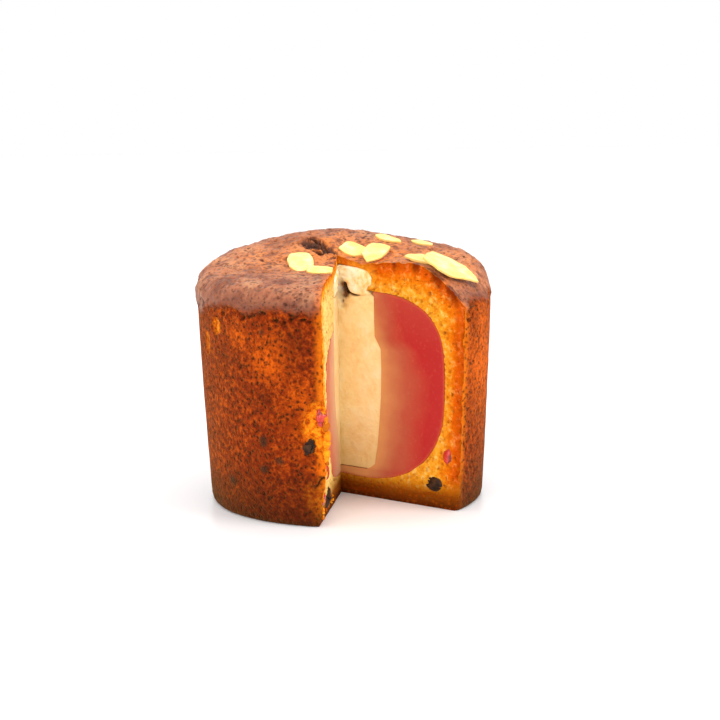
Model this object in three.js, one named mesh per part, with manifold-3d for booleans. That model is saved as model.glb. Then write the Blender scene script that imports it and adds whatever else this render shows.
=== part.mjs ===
// A small, tall pound cake with a slice cut out of it, in millimetres, +Z up.
// The origin is on the cake's own axis, on the face that it stands on, and -Y is the side with the cut.
// Inside is a whole poached fruit, cored, with the core filled with cheese cream. Raisins and
// cherries lie in the crumb, and sliced almonds are baked onto the domed top.
import * as THREE from "three";
import { mergeVertices } from "three/addons/utils/BufferGeometryUtils.js";
import Module from "manifold-3d";

const wasm = await Module();
wasm.setup();

// ---- Driving dimensions --------------------------------------------------------------------
const BASE_RADIUS = 36.5;
const RIM_RADIUS = 39;
const RIM_HEIGHT = 55.8;
const SIDE_BARREL = 0.9; // how far the wall bows out at mid height
const BASE_EDGE = 1.2; // rounding where the wall meets the base
const CRUST_LEDGE = 0.5; // how far the top crust overhangs the wall

// The two knife cuts meet at a corner just left of the cake's axis. Headings are in degrees from
// the front (-Y), positive towards the right (+X). The left cut slants away near the base.
const CUT_CORNER = new THREE.Vector2(-1.65, 0.17);
const CUT_LEFT = -5.4;
const CUT_RIGHT = 53.7;
const SLANT = { heading: -8.5, height: 14 };

const GAP = 0.3; // clearance between pieces that touch

// The fruit is fuller above its widest level than below it, and lower at the left cut. Fullness is
// the exponent of the section (2 is an ellipse), and tilt is the rise to the right, mm for each mm.
const FRUIT = {
  centre: new THREE.Vector3(1.15, 0.3, 33.4),
  radius: 31.8,
  above: { height: 21.9, heightAtLeft: 13.6, fullness: 2.74, tilt: 0.096 },
  below: { height: 28, heightAtLeft: 28, fullness: 2.4, tilt: -0.09 },
  lobes: 5,
  lobeDepth: 0.3,
};

// The cream fills the core and swells above it. It stands round the corner of the cuts: height,
// radius at the right cut, radius at the left.
const CORE_LEVELS = [
  [7.8, 9.6, 2.4],
  [9.2, 11.4, 2.6],
  [14, 12.3, 3.4],
  [18, 12.8, 5.8],
  [23, 13.3, 9.6],
  [28, 13.7, 11.4],
  [35, 13.9, 11.9],
  [41.2, 13.6, 11.8],
  [43.4, 11.9, 11.6],
  [49, 11.8, 11.2],
  [54.2, 11.7, 10.6],
  [55.8, 9.2, 9.0],
  [57.4, 10.9, 10.4],
  [60.2, 11.2, 10.2],
  [61.6, 8.0, 6.6],
];

const ALMOND = { length: 13, width: 8.4, thickness: 1.2, bevel: 0.35, sunk: 0.35 };

// Each sliced almond: place on the top, heading of its long axis, size, lift over a lower one,
// and how far it leans towards the viewer beyond the slope that it lies on, in degrees.
const ALMONDS = [
  { x: -11.2, y: -6.6, heading: 6, size: 0.82, lift: 0, lean: 14 },
  { x: -5.5, y: -11.9, heading: 84, size: 0.64, lift: 0, lean: 6 },
  { x: 3.2, y: 3.6, heading: 62, size: 0.7, lift: 0, lean: 4 },
  { x: 8.3, y: -1.0, heading: -18, size: 0.82, lift: 1.6, lean: 9 },
  { x: 21.6, y: -8.8, heading: 56, size: 0.9, lift: 0, lean: 7 },
  { x: 27.6, y: -13.1, heading: 84, size: 1.2, lift: 1.5, lean: 5 },
  { x: 12.4, y: 12.3, heading: 60, size: 0.6, lift: 0, lean: 0 },
  { x: 21.6, y: 12.8, heading: 60, size: 0.5, lift: 0, lean: 0 },
  { x: -3.0, y: 29.5, heading: 84, size: 0.8, lift: 0, lean: -2 },
  { x: -15.2, y: 28.0, heading: -60, size: 0.85, lift: 0, lean: 0 },
  { x: 10.2, y: 29.4, heading: 75, size: 0.85, lift: 0, lean: 0 },
];

// Dried fruit that shows: cut is the face it lies in, out its distance from the corner of the
// cuts, up its height, and inside how far its middle is behind that face.
const RAISINS = [
  { cut: CUT_LEFT, out: 24.7, up: 5.6, inside: 1.6, size: [3.0, 2.4, 4.3] },
  { cut: CUT_LEFT, out: 36.0, up: 20.6, inside: 4.0, size: [1.9, 2.0, 2.4] },
  { cut: CUT_LEFT, out: 19.0, up: 3.1, inside: 0.9, size: [1.3, 1.2, 1.1] },
  { cut: CUT_RIGHT, out: 2.9, up: 57.0, inside: 2.0, size: [1.8, 1.9, 2.6] },
  { cut: CUT_RIGHT, out: 30.4, up: 6.4, inside: 1.6, size: [4.1, 2.4, 2.6] },
];
const CHERRIES = [
  { cut: CUT_LEFT, out: 35.3, up: 28.4, inside: 0.9, size: [2.0, 1.5, 3.1] },
  { cut: CUT_LEFT, out: 31.9, up: 13.2, inside: 1.5, size: [2.6, 2.2, 2.5] },
  { cut: CUT_LEFT, out: 34.0, up: 7.2, inside: 1.4, size: [1.6, 2.0, 2.4] },
  { cut: CUT_RIGHT, out: 34.6, up: 14.0, inside: 1.6, size: [2.0, 2.2, 2.9] },
];

// Where the wall's crust has torn away beside the left cut.
const TORN_PATCH = { beyond: 1.0, height: 24.6, size: [6.2, 1.3, 7.8] };

// The crack where the top burst, as an arc across the slope behind the corner of the cuts.
const CRACK = { x: -6.6, y: 4.9, length: 10.5, width: 2.6, depth: 2.6, heading: 55 };

// ---- Helpers -------------------------------------------------------------------------------
const radians = THREE.MathUtils.degToRad;

/** The level unit vector at a heading, in degrees from the front towards the right. */
function headingVector(degrees) {
  const a = radians(degrees);
  return new THREE.Vector3(Math.sin(a), -Math.cos(a), 0);
}

/** A bell of height 1 at the middle that falls off over `spread`. */
function bell(distance, spread) {
  return Math.exp(-((distance / spread) ** 2));
}

/** The difference of two headings, brought into -180 to 180 degrees. */
function turnBetween(a, b) {
  return THREE.MathUtils.euclideanModulo(a - b + 180, 360) - 180;
}

/** Seeded random numbers from 0 to 1. */
function randomSource(seed) {
  let state = seed;
  return () => {
    state = (state * 1664525 + 1013904223) % 4294967296;
    return state / 4294967296;
  };
}

/** A smooth, uneven function of a point, about -1 to 1: a sum of waves in seeded directions. */
function swells(seed, wavelength, count = 7) {
  const random = randomSource(seed);
  const waves = Array.from({ length: count }, () => {
    const direction = new THREE.Vector3(random() - 0.5, random() - 0.5, random() - 0.5).normalize();
    const length = wavelength * (0.7 + 0.8 * random());
    return { direction: direction.multiplyScalar((2 * Math.PI) / length), phase: 7 * random() };
  });
  return (point) =>
    waves.reduce((sum, w) => sum + Math.sin(w.direction.dot(point) + w.phase), 0) / Math.sqrt(count);
}

/** Moves every vertex of a geometry in place: change(point) alters the point that it is given. */
function reshape(geometry, change) {
  const position = geometry.getAttribute("position");
  const point = new THREE.Vector3();
  for (let i = 0; i < position.count; i++) {
    change(point.fromBufferAttribute(position, i));
    position.setXYZ(i, point.x, point.y, point.z);
  }
  return geometry;
}

/** A profile of [radius, height] pairs turned about +Z. */
function turned(profile, segments) {
  const points = profile.map(([radius, height]) => new THREE.Vector2(Math.max(radius, 0), height));
  return new THREE.LatheGeometry(points, segments).rotateX(Math.PI / 2);
}

/** A geometry as a manifold-3d solid. */
function solidOf(geometry) {
  const bare = geometry.clone();
  bare.deleteAttribute("normal");
  bare.deleteAttribute("uv");
  const merged = mergeVertices(bare, 1e-4);
  return new wasm.Manifold(
    new wasm.Mesh({
      numProp: 3,
      vertProperties: new Float32Array(merged.getAttribute("position").array),
      triVerts: new Uint32Array(merged.index.array),
    }),
  );
}

/** A manifold-3d solid as a geometry with flat normals. */
function geometryOf(solid) {
  const { vertProperties, triVerts } = solid.getMesh();
  const geometry = new THREE.BufferGeometry();
  geometry.setAttribute("position", new THREE.BufferAttribute(vertProperties, 3));
  geometry.setIndex(new THREE.BufferAttribute(triVerts, 1));
  const flat = geometry.toNonIndexed();
  flat.computeVertexNormals();
  return flat;
}

/** A mesh's geometry where the mesh stands in the group. */
function placedGeometry(mesh) {
  mesh.updateMatrixWorld(true);
  return mesh.geometry.clone().applyMatrix4(mesh.matrixWorld);
}

// ---- Outer form ----------------------------------------------------------------------------
/** Height of the line where the wall turns into the top crust. It dips at the right of the cut. */
function rimHeight(heading) {
  return RIM_HEIGHT - 2.4 * bell(turnBetween(heading, 58), 38);
}

/** Radius of the wall at a height. */
function wallRadius(height) {
  const share = height / RIM_HEIGHT;
  return THREE.MathUtils.lerp(BASE_RADIUS, RIM_RADIUS, share) + SIDE_BARREL * share * (1 - share);
}

/** Height of the baked top: it rises to a ridge behind the middle, where it burst, then falls. */
function topHeight(x, y) {
  const share = Math.min(Math.hypot(x, y) / RIM_RADIUS, 1);
  const heading = THREE.MathUtils.radToDeg(Math.atan2(x, -y));
  const sharpness = 0.4 + 1.1 * bell(turnBetween(heading, 52), 27);
  const shoulder = (1 - share ** 8.5) ** sharpness;
  const rise = THREE.MathUtils.smoothstep(y, -17, 19) * (4.6 + 4.0 * bell(x + 3, 19));
  const fall = 3.5 * THREE.MathUtils.smoothstep(y, 17, 36);
  const dip = 1.3 * bell(x - 3, 10) * bell(y + 1, 8);
  const swell = 2.4 * bell(x - 19, 10) * bell(y + 12, 10);
  const rim = rimHeight(heading);
  return rim + (61.4 + rise - fall - dip + swell - rim) * shoulder;
}

/** The top's upward direction over a patch as wide as an almond slice. */
function topNormal(x, y, reach = 3) {
  const slopeX = (topHeight(x + reach, y) - topHeight(x - reach, y)) / (2 * reach);
  const slopeY = (topHeight(x, y + reach) - topHeight(x, y - reach)) / (2 * reach);
  return new THREE.Vector3(-slopeX, -slopeY, 1).normalize();
}

/** The uncut cake: base, wall with a ledge of crust at the rim, and the uneven dome. */
function cakeGeometry() {
  const wallRows = 9;
  const topRows = 12;
  const ledgeRow = 0.965; // share of the wall's height where the crust starts to overhang
  const wall = Array.from({ length: wallRows }, (_, i) => {
    const height = THREE.MathUtils.lerp(BASE_EDGE, RIM_HEIGHT * ledgeRow, i / (wallRows - 1));
    return [wallRadius(height), height];
  });
  const dome = Array.from({ length: topRows }, (_, i) => {
    const share = Math.cos(((i / topRows) * Math.PI) / 2);
    return [RIM_RADIUS * share, RIM_HEIGHT + i];
  });
  const profile = [
    [0, 0],
    [BASE_RADIUS * 0.55, 0],
    [BASE_RADIUS - BASE_EDGE, 0],
    ...wall,
    ...dome,
    [0, RIM_HEIGHT + topRows],
  ];
  const lumps = swells(5, 17);
  const crags = swells(11, 7.5);
  return reshape(turned(profile, 76), (point) => {
    const radius = Math.hypot(point.x, point.y);
    const onTop = point.z >= RIM_HEIGHT;
    if (onTop) {
      point.z = topHeight(point.x, point.y);
      point.z += 0.35 * lumps(point) + 0.3 * crags(point);
      const outward = 1 + (CRUST_LEDGE * (radius / RIM_RADIUS) ** 6) / RIM_RADIUS;
      point.x *= outward;
      point.y *= outward;
    } else if (point.z > 0) {
      const heading = THREE.MathUtils.radToDeg(Math.atan2(point.x, -point.y));
      point.z *= rimHeight(heading) / RIM_HEIGHT;
      const relief = 1 + (0.22 * lumps(point) + 0.12 * crags(point)) / radius;
      point.x *= relief;
      point.y *= relief;
    }
  });
}

/** Heading of the left cut at a height. */
function leftHeading(height) {
  const share = THREE.MathUtils.smoothstep(height, 0, SLANT.height);
  return THREE.MathUtils.lerp(SLANT.heading, CUT_LEFT, share);
}

/** The slice that was cut out, as a prism between the two knife cuts. */
function sliceGeometry() {
  const reach = 2 * RIM_RADIUS;
  const outline = new THREE.Shape([
    CUT_CORNER,
    ...[CUT_LEFT, (CUT_LEFT + CUT_RIGHT) / 2, CUT_RIGHT].map((heading) => {
      const way = headingVector(heading).multiplyScalar(reach);
      return new THREE.Vector2(CUT_CORNER.x + way.x, CUT_CORNER.y + way.y);
    }),
  ]);
  const below = 10;
  const options = { depth: 100, steps: 20, bevelEnabled: false };
  const geometry = new THREE.ExtrudeGeometry(outline, options).translate(0, 0, -below);
  return reshape(geometry, (point) => {
    if (point.x > CUT_CORNER.x - 1) return;
    const way = headingVector(leftHeading(point.z)).multiplyScalar(reach);
    point.set(CUT_CORNER.x + way.x, CUT_CORNER.y + way.y, point.z);
  });
}

/** The crescent-shaped gash of the crack, sunk into the slope behind the cuts. */
function crackGeometry() {
  const { length, width, depth } = CRACK;
  const outline = new THREE.Shape();
  outline.moveTo(-length / 2, 0);
  outline.quadraticCurveTo(0, width * 1.6, length / 2, 0);
  outline.quadraticCurveTo(0, -width * 0.4, -length / 2, 0);
  const above = 6;
  const options = { depth: depth + above, bevelEnabled: false, curveSegments: 6 };
  const gash = new THREE.ExtrudeGeometry(outline, options).translate(0, 0, -depth);
  const mesh = new THREE.Mesh(gash);
  mesh.position.set(CRACK.x, CRACK.y, topHeight(CRACK.x, CRACK.y));
  mesh.rotation.set(radians(-24), 0, radians(90 - CRACK.heading) - Math.PI / 3);
  return placedGeometry(mesh);
}

/** The shallow hollow where the wall's crust tore away. */
function tornPatchGeometry() {
  const [along, deep, tall] = TORN_PATCH.size;
  const heading = CUT_LEFT - TORN_PATCH.beyond;
  const patch = new THREE.Mesh(new THREE.SphereGeometry(1, 14, 10).scale(along, deep, tall));
  const radius = wallRadius(TORN_PATCH.height);
  patch.position.copy(headingVector(heading).multiplyScalar(radius)).setZ(TORN_PATCH.height);
  patch.rotation.z = radians(heading);
  return placedGeometry(patch);
}

// ---- Filling -------------------------------------------------------------------------------
/** The poached fruit before it was cored and cut, grown outwards by `grow`. */
function wholeFruitGeometry(grow) {
  const rows = 15;
  const profile = Array.from({ length: rows + 1 }, (_, i) => {
    const angle = (Math.PI * i) / rows - Math.PI / 2;
    const half = angle < 0 ? FRUIT.below : FRUIT.above;
    const radius = (FRUIT.radius + grow) * Math.abs(Math.cos(angle)) ** (2 / half.fullness);
    const rise = (half.height + grow) * Math.abs(Math.sin(angle)) ** (2 / half.fullness);
    return [i === 0 || i === rows ? 0 : radius, Math.sign(angle) * rise];
  });
  return reshape(turned(profile, 42), (point) => {
    const around = Math.atan2(point.y, point.x);
    const spread = Math.hypot(point.x, point.y) / FRUIT.radius;
    const lobe = 1 + (FRUIT.lobeDepth * spread * Math.cos(FRUIT.lobes * around + 1)) / FRUIT.radius;
    point.x *= lobe;
    point.y *= lobe;
    const { tilt, height, heightAtLeft } = point.z < 0 ? FRUIT.below : FRUIT.above;
    const fromCorner = [point.x + FRUIT.centre.x - CUT_CORNER.x, point.y + FRUIT.centre.y - CUT_CORNER.y];
    const leftShare = leftwardShare(THREE.MathUtils.radToDeg(Math.atan2(fromCorner[0], -fromCorner[1])));
    point.z *= THREE.MathUtils.lerp(height, heightAtLeft, leftShare) / height;
    point.z += tilt * point.x * Math.min(Math.abs(point.z) / 10, 1);
  }).translate(FRUIT.centre.x, FRUIT.centre.y, FRUIT.centre.z);
}

/** 0 at the right cut and on through the hidden back, 1 at the left cut, and back in the notch. */
function leftwardShare(heading) {
  const turn = THREE.MathUtils.euclideanModulo(heading - CUT_RIGHT, 360);
  const whole = 360 - (CUT_RIGHT - CUT_LEFT);
  const { smoothstep } = THREE.MathUtils;
  return smoothstep(turn, whole * 0.55, whole * 0.94) - smoothstep(turn, whole + 22, 360 - 22);
}

/** The cream that fills the core, before the cuts, grown outwards by `grow`. */
function coreGeometry(grow) {
  const last = CORE_LEVELS.length - 1;
  const profile = [
    [0, CORE_LEVELS[0][0] - grow],
    ...CORE_LEVELS.map(([height, radius], i) => [radius, height + ((i === last) - (i === 0)) * grow]),
    [0, CORE_LEVELS[last][0] + 0.6 + grow],
  ];
  const lumps = swells(23, 9);
  return reshape(turned(profile, 32), (point) => {
    const radius = Math.hypot(point.x, point.y);
    const leftShare = leftwardShare(THREE.MathUtils.radToDeg(Math.atan2(point.x, -point.y)));
    const share = (coreRadius(point.z, leftShare) + 0.25 * lumps(point) + grow) / radius;
    point.x *= radius > 0.5 ? share : 1;
    point.y *= radius > 0.5 ? share : 1;
    point.z -= 1.2 * leftShare * THREE.MathUtils.smoothstep(point.z, 54, 60);
  }).translate(CUT_CORNER.x, CUT_CORNER.y, 0);
}

/** Radius of the core at a height, between the form at the right cut and that at the left. */
function coreRadius(height, leftShare) {
  const above = CORE_LEVELS.findIndex(([level]) => level >= height);
  const upper = CORE_LEVELS[above < 0 ? CORE_LEVELS.length - 1 : above];
  const lower = CORE_LEVELS[Math.max(above < 0 ? CORE_LEVELS.length - 1 : above - 1, 0)];
  const share = upper === lower ? 0 : (height - lower[0]) / (upper[0] - lower[0]);
  const right = THREE.MathUtils.lerp(lower[1], upper[1], share);
  const left = THREE.MathUtils.lerp(lower[2], upper[2], share);
  return THREE.MathUtils.lerp(right, left, leftShare);
}

// ---- Almonds and dried fruit ---------------------------------------------------------------
/** One slice of almond, lying in XY with its point along +X. */
function almondGeometry(size, grow) {
  const { length, width, thickness, bevel } = ALMOND;
  const sides = 18;
  const edge = Array.from({ length: sides }, (_, i) => {
    const angle = (2 * Math.PI * i) / sides;
    const taper = 1 - 0.28 * Math.cos(angle);
    const inset = bevel - grow;
    return new THREE.Vector2(
      ((length * size) / 2 - inset) * Math.cos(angle),
      ((width * size) / 2 - inset) * Math.sin(angle) * taper,
    );
  });
  const flat = thickness + 2 * grow - 2 * bevel;
  const options = { depth: flat, bevelSize: bevel, bevelThickness: bevel, bevelSegments: 1 };
  const geometry = new THREE.ExtrudeGeometry(new THREE.Shape(edge), { ...options, steps: 1 });
  return geometry.translate(0, 0, -flat / 2);
}

/** An almond slice set on the slope of the top. */
function almondMesh(spec, grow, material) {
  const mesh = new THREE.Mesh(almondGeometry(spec.size, grow), material);
  const up = topNormal(spec.x, spec.y);
  up.applyAxisAngle(new THREE.Vector3(1, 0, 0), radians(spec.lean));
  const along = headingVector(spec.heading);
  const across = new THREE.Vector3().crossVectors(up, along).normalize();
  along.crossVectors(across, up);
  mesh.quaternion.setFromRotationMatrix(new THREE.Matrix4().makeBasis(along, across, up));
  const middle = topHeight(spec.x, spec.y) + ALMOND.thickness / 2 - ALMOND.sunk + spec.lift;
  mesh.position.set(spec.x, spec.y, middle);
  return mesh;
}

/** A raisin or cherry: a wrinkled ellipsoid set just behind one of the knife cuts. */
function driedFruitMesh(spec, index, grow, material) {
  const [out, deep, up] = spec.size.map((half) => half + grow);
  const wrinkles = swells(40 + index, 1.6);
  const geometry = reshape(new THREE.SphereGeometry(1, 11, 7), (point) => {
    point.multiplyScalar(1 + 0.07 * wrinkles(point));
  });
  const mesh = new THREE.Mesh(geometry.scale(out, deep, up), material);
  const heading = spec.cut === CUT_LEFT ? leftHeading(spec.up) : spec.cut;
  const way = headingVector(heading);
  const behind = headingVector(heading + (spec.cut === CUT_LEFT ? -90 : 90));
  mesh.position.set(CUT_CORNER.x, CUT_CORNER.y, spec.up);
  mesh.position.addScaledVector(way, spec.out).addScaledVector(behind, spec.inside);
  mesh.rotation.z = radians(heading - 90);
  return mesh;
}

// ---- The cake ------------------------------------------------------------------------------
const material = {
  sponge: new THREE.MeshStandardMaterial({ color: 0xb4692f, roughness: 0.9 }),
  fruit: new THREE.MeshStandardMaterial({ color: 0xcf4a48, roughness: 0.3 }),
  cream: new THREE.MeshStandardMaterial({ color: 0xf6dfae, roughness: 0.6 }),
  almond: new THREE.MeshStandardMaterial({ color: 0xf3dc9a, roughness: 0.6 }),
  raisin: new THREE.MeshStandardMaterial({ color: 0x3a241c, roughness: 0.5 }),
  cherry: new THREE.MeshStandardMaterial({ color: 0xa3202a, roughness: 0.3 }),
};

const slice = solidOf(sliceGeometry());

/** A named mesh of a solid with the slice taken out of it. */
function cutPiece(name, solid, finish) {
  const mesh = new THREE.Mesh(geometryOf(solid.subtract(slice)), finish);
  mesh.name = name;
  return mesh;
}

/** The small pieces of one kind, as they stand, grown by `grow` and untrimmed. */
function smallPieces(grow) {
  return {
    almond: ALMONDS.map((spec) => almondMesh(spec, grow, material.almond)),
    raisin: RAISINS.map((spec, i) => driedFruitMesh(spec, i, grow, material.raisin)),
    cherry: CHERRIES.map((spec, i) => driedFruitMesh(spec, i + 9, grow, material.cherry)),
  };
}

const sockets = Object.values(smallPieces(GAP)).flat();
const socketSolid = wasm.Manifold.union(sockets.map((mesh) => solidOf(placedGeometry(mesh))));
const wholeFruit = solidOf(wholeFruitGeometry(0));
const core = solidOf(coreGeometry(0));
const coreRoom = solidOf(coreGeometry(GAP));
const fruitRoom = solidOf(wholeFruitGeometry(GAP));

const sponge = solidOf(cakeGeometry())
  .subtract(solidOf(crackGeometry()))
  .subtract(solidOf(tornPatchGeometry()))
  .subtract(coreRoom.add(fruitRoom))
  .subtract(socketSolid);

const cake = new THREE.Group();
cake.name = "pound_cake";
cake.add(cutPiece("sponge", sponge, material.sponge));
cake.add(cutPiece("fruit", wholeFruit.subtract(coreRoom).subtract(socketSolid), material.fruit));
cake.add(cutPiece("cream", core.subtract(socketSolid), material.cream));

// Almonds near the cuts are trimmed by the knife, and the others stand as placed.
for (const [kind, meshes] of Object.entries(smallPieces(0))) {
  meshes.forEach((mesh, i) => {
    const name = `${kind}_${i + 1}`;
    const solid = solidOf(placedGeometry(mesh));
    const trimmed = kind === "almond" && solid.intersect(slice).volume() > 0;
    mesh.name = name;
    cake.add(trimmed ? cutPiece(name, solid, mesh.material) : mesh);
  });
}

export default cake;
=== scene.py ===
"""A small, tall pound cake with one slice cut out of it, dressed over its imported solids.

All sizes in this file are in millimetres and become metres as each mesh is made. Headings are in
degrees from the front (-Y), positive towards the right (+X). The sponge, the fruit and the cream
are each a section carried round the corner where the two knife cuts meet.
"""
import logging
import math
from collections.abc import Callable, Sequence
from dataclasses import dataclass, field
from enum import Enum

import bpy
import numpy as np
from mathutils import Euler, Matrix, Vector


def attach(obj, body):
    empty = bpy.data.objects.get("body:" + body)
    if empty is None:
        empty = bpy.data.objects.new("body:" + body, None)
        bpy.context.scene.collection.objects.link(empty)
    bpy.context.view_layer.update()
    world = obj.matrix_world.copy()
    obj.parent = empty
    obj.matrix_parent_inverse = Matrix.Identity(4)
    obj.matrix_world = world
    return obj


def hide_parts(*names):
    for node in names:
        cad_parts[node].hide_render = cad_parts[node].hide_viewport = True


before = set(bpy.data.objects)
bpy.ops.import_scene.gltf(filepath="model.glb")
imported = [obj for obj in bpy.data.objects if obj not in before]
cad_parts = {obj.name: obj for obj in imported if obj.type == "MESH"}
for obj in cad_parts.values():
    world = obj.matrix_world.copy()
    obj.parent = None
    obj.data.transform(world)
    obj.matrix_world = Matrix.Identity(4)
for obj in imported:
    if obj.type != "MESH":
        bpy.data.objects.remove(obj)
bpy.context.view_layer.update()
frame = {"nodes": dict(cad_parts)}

log = logging.getLogger("pound_cake")
MM = 0.001


# ---- Colour and nodes ------------------------------------------------------------------------
def linear(hex_colour: str) -> tuple[float, float, float, float]:
    """Turns an sRGB hex colour into linear light.

    Args:
        hex_colour: Six hex digits after a hash.

    Returns:
        Red, green, blue and an alpha of 1.
    """
    parts = [int(hex_colour[i:i + 2], 16) / 255 for i in (1, 3, 5)]
    return (*[c / 12.92 if c <= 0.04045 else ((c + 0.055) / 1.055) ** 2.4 for c in parts], 1.0)


def per(size: float) -> float:
    """The scale of a pattern whose marks lie that many millimetres apart."""
    return 1 / (size * MM)


class Nodes:
    """A material's node tree, with one small function that adds a node."""

    def __init__(self, name: str) -> None:
        """Makes an empty material of that name."""
        self.material = bpy.data.materials.new(name)
        self.material.use_nodes = True
        self.tree = self.material.node_tree
        self.tree.nodes.clear()

    def add(self, kind: str, *inputs: object, output: int | str = 0,
            stops: Sequence[tuple[float, str]] = (), **settings: object) -> bpy.types.NodeSocket:
        """Adds a node, sets it and feeds it.

        Args:
            kind: The node's type, without its "ShaderNode".
            inputs: What each socket gets in turn, or one dictionary from socket names to that: a
                value, an sRGB hex colour, or the socket that feeds it.
            output: Which of the node's outputs is wanted.
            stops: A colour ramp's places from 0 to 1, each with its sRGB hex colour.
            settings: The node's own properties.

        Returns:
            The output.
        """
        node = self.tree.nodes.new("ShaderNode" + kind)
        for key, value in settings.items():
            setattr(node, key, value)
        named = inputs[0] if inputs and isinstance(inputs[0], dict) else dict(enumerate(inputs))
        for key, value in named.items():
            if isinstance(value, bpy.types.NodeSocket):
                self.tree.links.new(value, node.inputs[key])
            else:
                node.inputs[key].default_value = linear(value) if isinstance(value, str) else value
        if stops:
            elements = node.color_ramp.elements
            while len(elements) < len(stops):
                elements.new(0.5)
            for element, (place, colour) in zip(elements, stops):
                element.position, element.color = place, linear(colour)
        return node.outputs[output]

    def finish(self, shader: dict, bumps: Sequence[tuple[bpy.types.NodeSocket, float]] = (),
               ) -> bpy.types.Material:
        """Ends the tree in one surface shader.

        Args:
            shader: What the shader's sockets get.
            bumps: Height sockets from 0 to 1, each with its height in millimetres.

        Returns:
            The material.
        """
        feed = dict(shader)
        for height, depth in bumps:
            bump = {"Height": height, "Distance": depth * MM, "Strength": 1.0}
            if "Normal" in feed:
                bump["Normal"] = feed["Normal"]
            feed["Normal"] = self.add("Bump", bump)
        surface = self.add("BsdfPrincipled", feed)
        output = self.tree.nodes.new("ShaderNodeOutputMaterial")
        self.tree.links.new(surface, output.inputs["Surface"])
        return self.material


# ---- Uneven surfaces -------------------------------------------------------------------------
def hashed(cells: np.ndarray, seed: int) -> np.ndarray:
    """Three random numbers from 0 to 1 for each whole-numbered cell.

    Each coordinate is multiplied by a large prime, the products are combined bit by bit, and the
    result is stirred three times.

    Args:
        cells: Whole numbers, shaped (..., 3).
        seed: Which set of random numbers.

    Returns:
        Numbers shaped (..., 3).
    """
    c = cells.astype(np.int64)
    state = (c[..., 0] * 73856093) ^ (c[..., 1] * 19349663) ^ (c[..., 2] * 83492791)
    state = (state ^ (seed * 2654435761)) & 0xFFFFFFFF
    numbers = []
    for _ in range(3):
        state = (state * 1664525 + 1013904223) & 0xFFFFFFFF
        state ^= state >> 15
        state = (state * 2246822519) & 0xFFFFFFFF
        state ^= state >> 13
        numbers.append(state / 2.0**32)
    return np.stack(numbers, axis=-1)


def swell(points: np.ndarray, wavelength: float, seed: int) -> np.ndarray:
    """Smooth noise, about -1 to 1.

    Each corner of a cubic lattice holds a random number, and a point takes the eight round it,
    weighted by the fade 6t^5 - 15t^4 + 10t^3 along each axis.
    """
    scaled = points / wavelength
    low = np.floor(scaled)
    t = scaled - low
    fade = t * t * t * (t * (t * 6 - 15) + 10)
    total = np.zeros(points.shape[:-1])
    for corner in np.ndindex(2, 2, 2):
        weight = np.prod(np.where(corner, fade, 1 - fade), axis=-1)
        total += weight * hashed(low + corner, seed)[..., 0]
    return total * 2 - 1


def rough(points: np.ndarray, wavelength: float, seed: int, octaves: int = 3) -> np.ndarray:
    """Noise of several scales: each next one is half as long and a little over half as strong."""
    layers = [0.55**k * swell(points, wavelength / 2**k, seed + k) for k in range(octaves)]
    return sum(layers) / sum(0.55**k for k in range(octaves))


def pores(points: np.ndarray, spacing: float, seed: int, share: float,
          width: float) -> np.ndarray:
    """How deep each point lies in a round pore, from 0 outside to 1 in the middle.

    Space is cut into cubes. A share of them holds a pore, at a random place in the cube, and a
    point takes the deepest of the pores in the 27 cubes round it.

    Args:
        points: Places, shaped (..., 3).
        spacing: The cubes' size.
        seed: Which set of pores.
        share: Share of the cubes that hold one.
        width: Radius of the widest pores.

    Returns:
        Depths shaped (...).
    """
    scaled = points / spacing
    low = np.floor(scaled)
    deepest = np.zeros(points.shape[:-1])
    for offset in np.ndindex(3, 3, 3):
        cell = low + np.array(offset) - 1
        place, extra = hashed(cell, seed), hashed(cell, seed + 77)
        distance = np.linalg.norm(scaled - cell - place, axis=-1) * spacing
        reach = width * (0.45 + 0.55 * extra[..., 1])
        depth = np.clip(1 - (distance / reach) ** 2, 0, 1) * (extra[..., 0] < share)
        deepest = np.maximum(deepest, depth)
    return deepest


def smoothstep(low: float, high: float, value: np.ndarray) -> np.ndarray:
    """0 below low, 1 above high, and 3t^2 - 2t^3 between them."""
    t = np.clip((value - low) / (high - low), 0, 1)
    return t * t * (3 - 2 * t)


def bell(distance: np.ndarray, spread: float) -> np.ndarray:
    """1 at the middle, falling off as exp(-(distance/spread)^2)."""
    return np.exp(-((distance / spread) ** 2))


def bearing(points: np.ndarray) -> np.ndarray:
    """Headings of points round the cake's axis."""
    return np.degrees(np.arctan2(points[..., 0], -points[..., 1]))


def turned_from(headings: np.ndarray, middle: float) -> np.ndarray:
    """How far headings are turned from one, from -180 to 180."""
    return (headings - middle + 180) % 360 - 180


def away_from(spots: np.ndarray, outline: np.ndarray) -> np.ndarray:
    """Distance of each of a grid of places from the nearest point of an outline."""
    return np.min(np.linalg.norm(spots[:, :, None] - outline, axis=-1), axis=-1)


def unit_ball(rows: int, columns: int) -> np.ndarray:
    """A ball of radius 1 as a closed grid of latitude and longitude."""
    low = np.linspace(-np.pi / 2, np.pi / 2, rows)[:, None]
    turn = np.linspace(0, 2 * np.pi, columns)[None, :]
    ball = np.stack([np.cos(low) * np.cos(turn), np.cos(low) * np.sin(turn),
                     np.sin(low) + 0 * turn], -1)
    ball[:, -1], ball[0], ball[-1] = ball[:, 0], (0, 0, -1), (0, 0, 1)
    return ball


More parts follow.
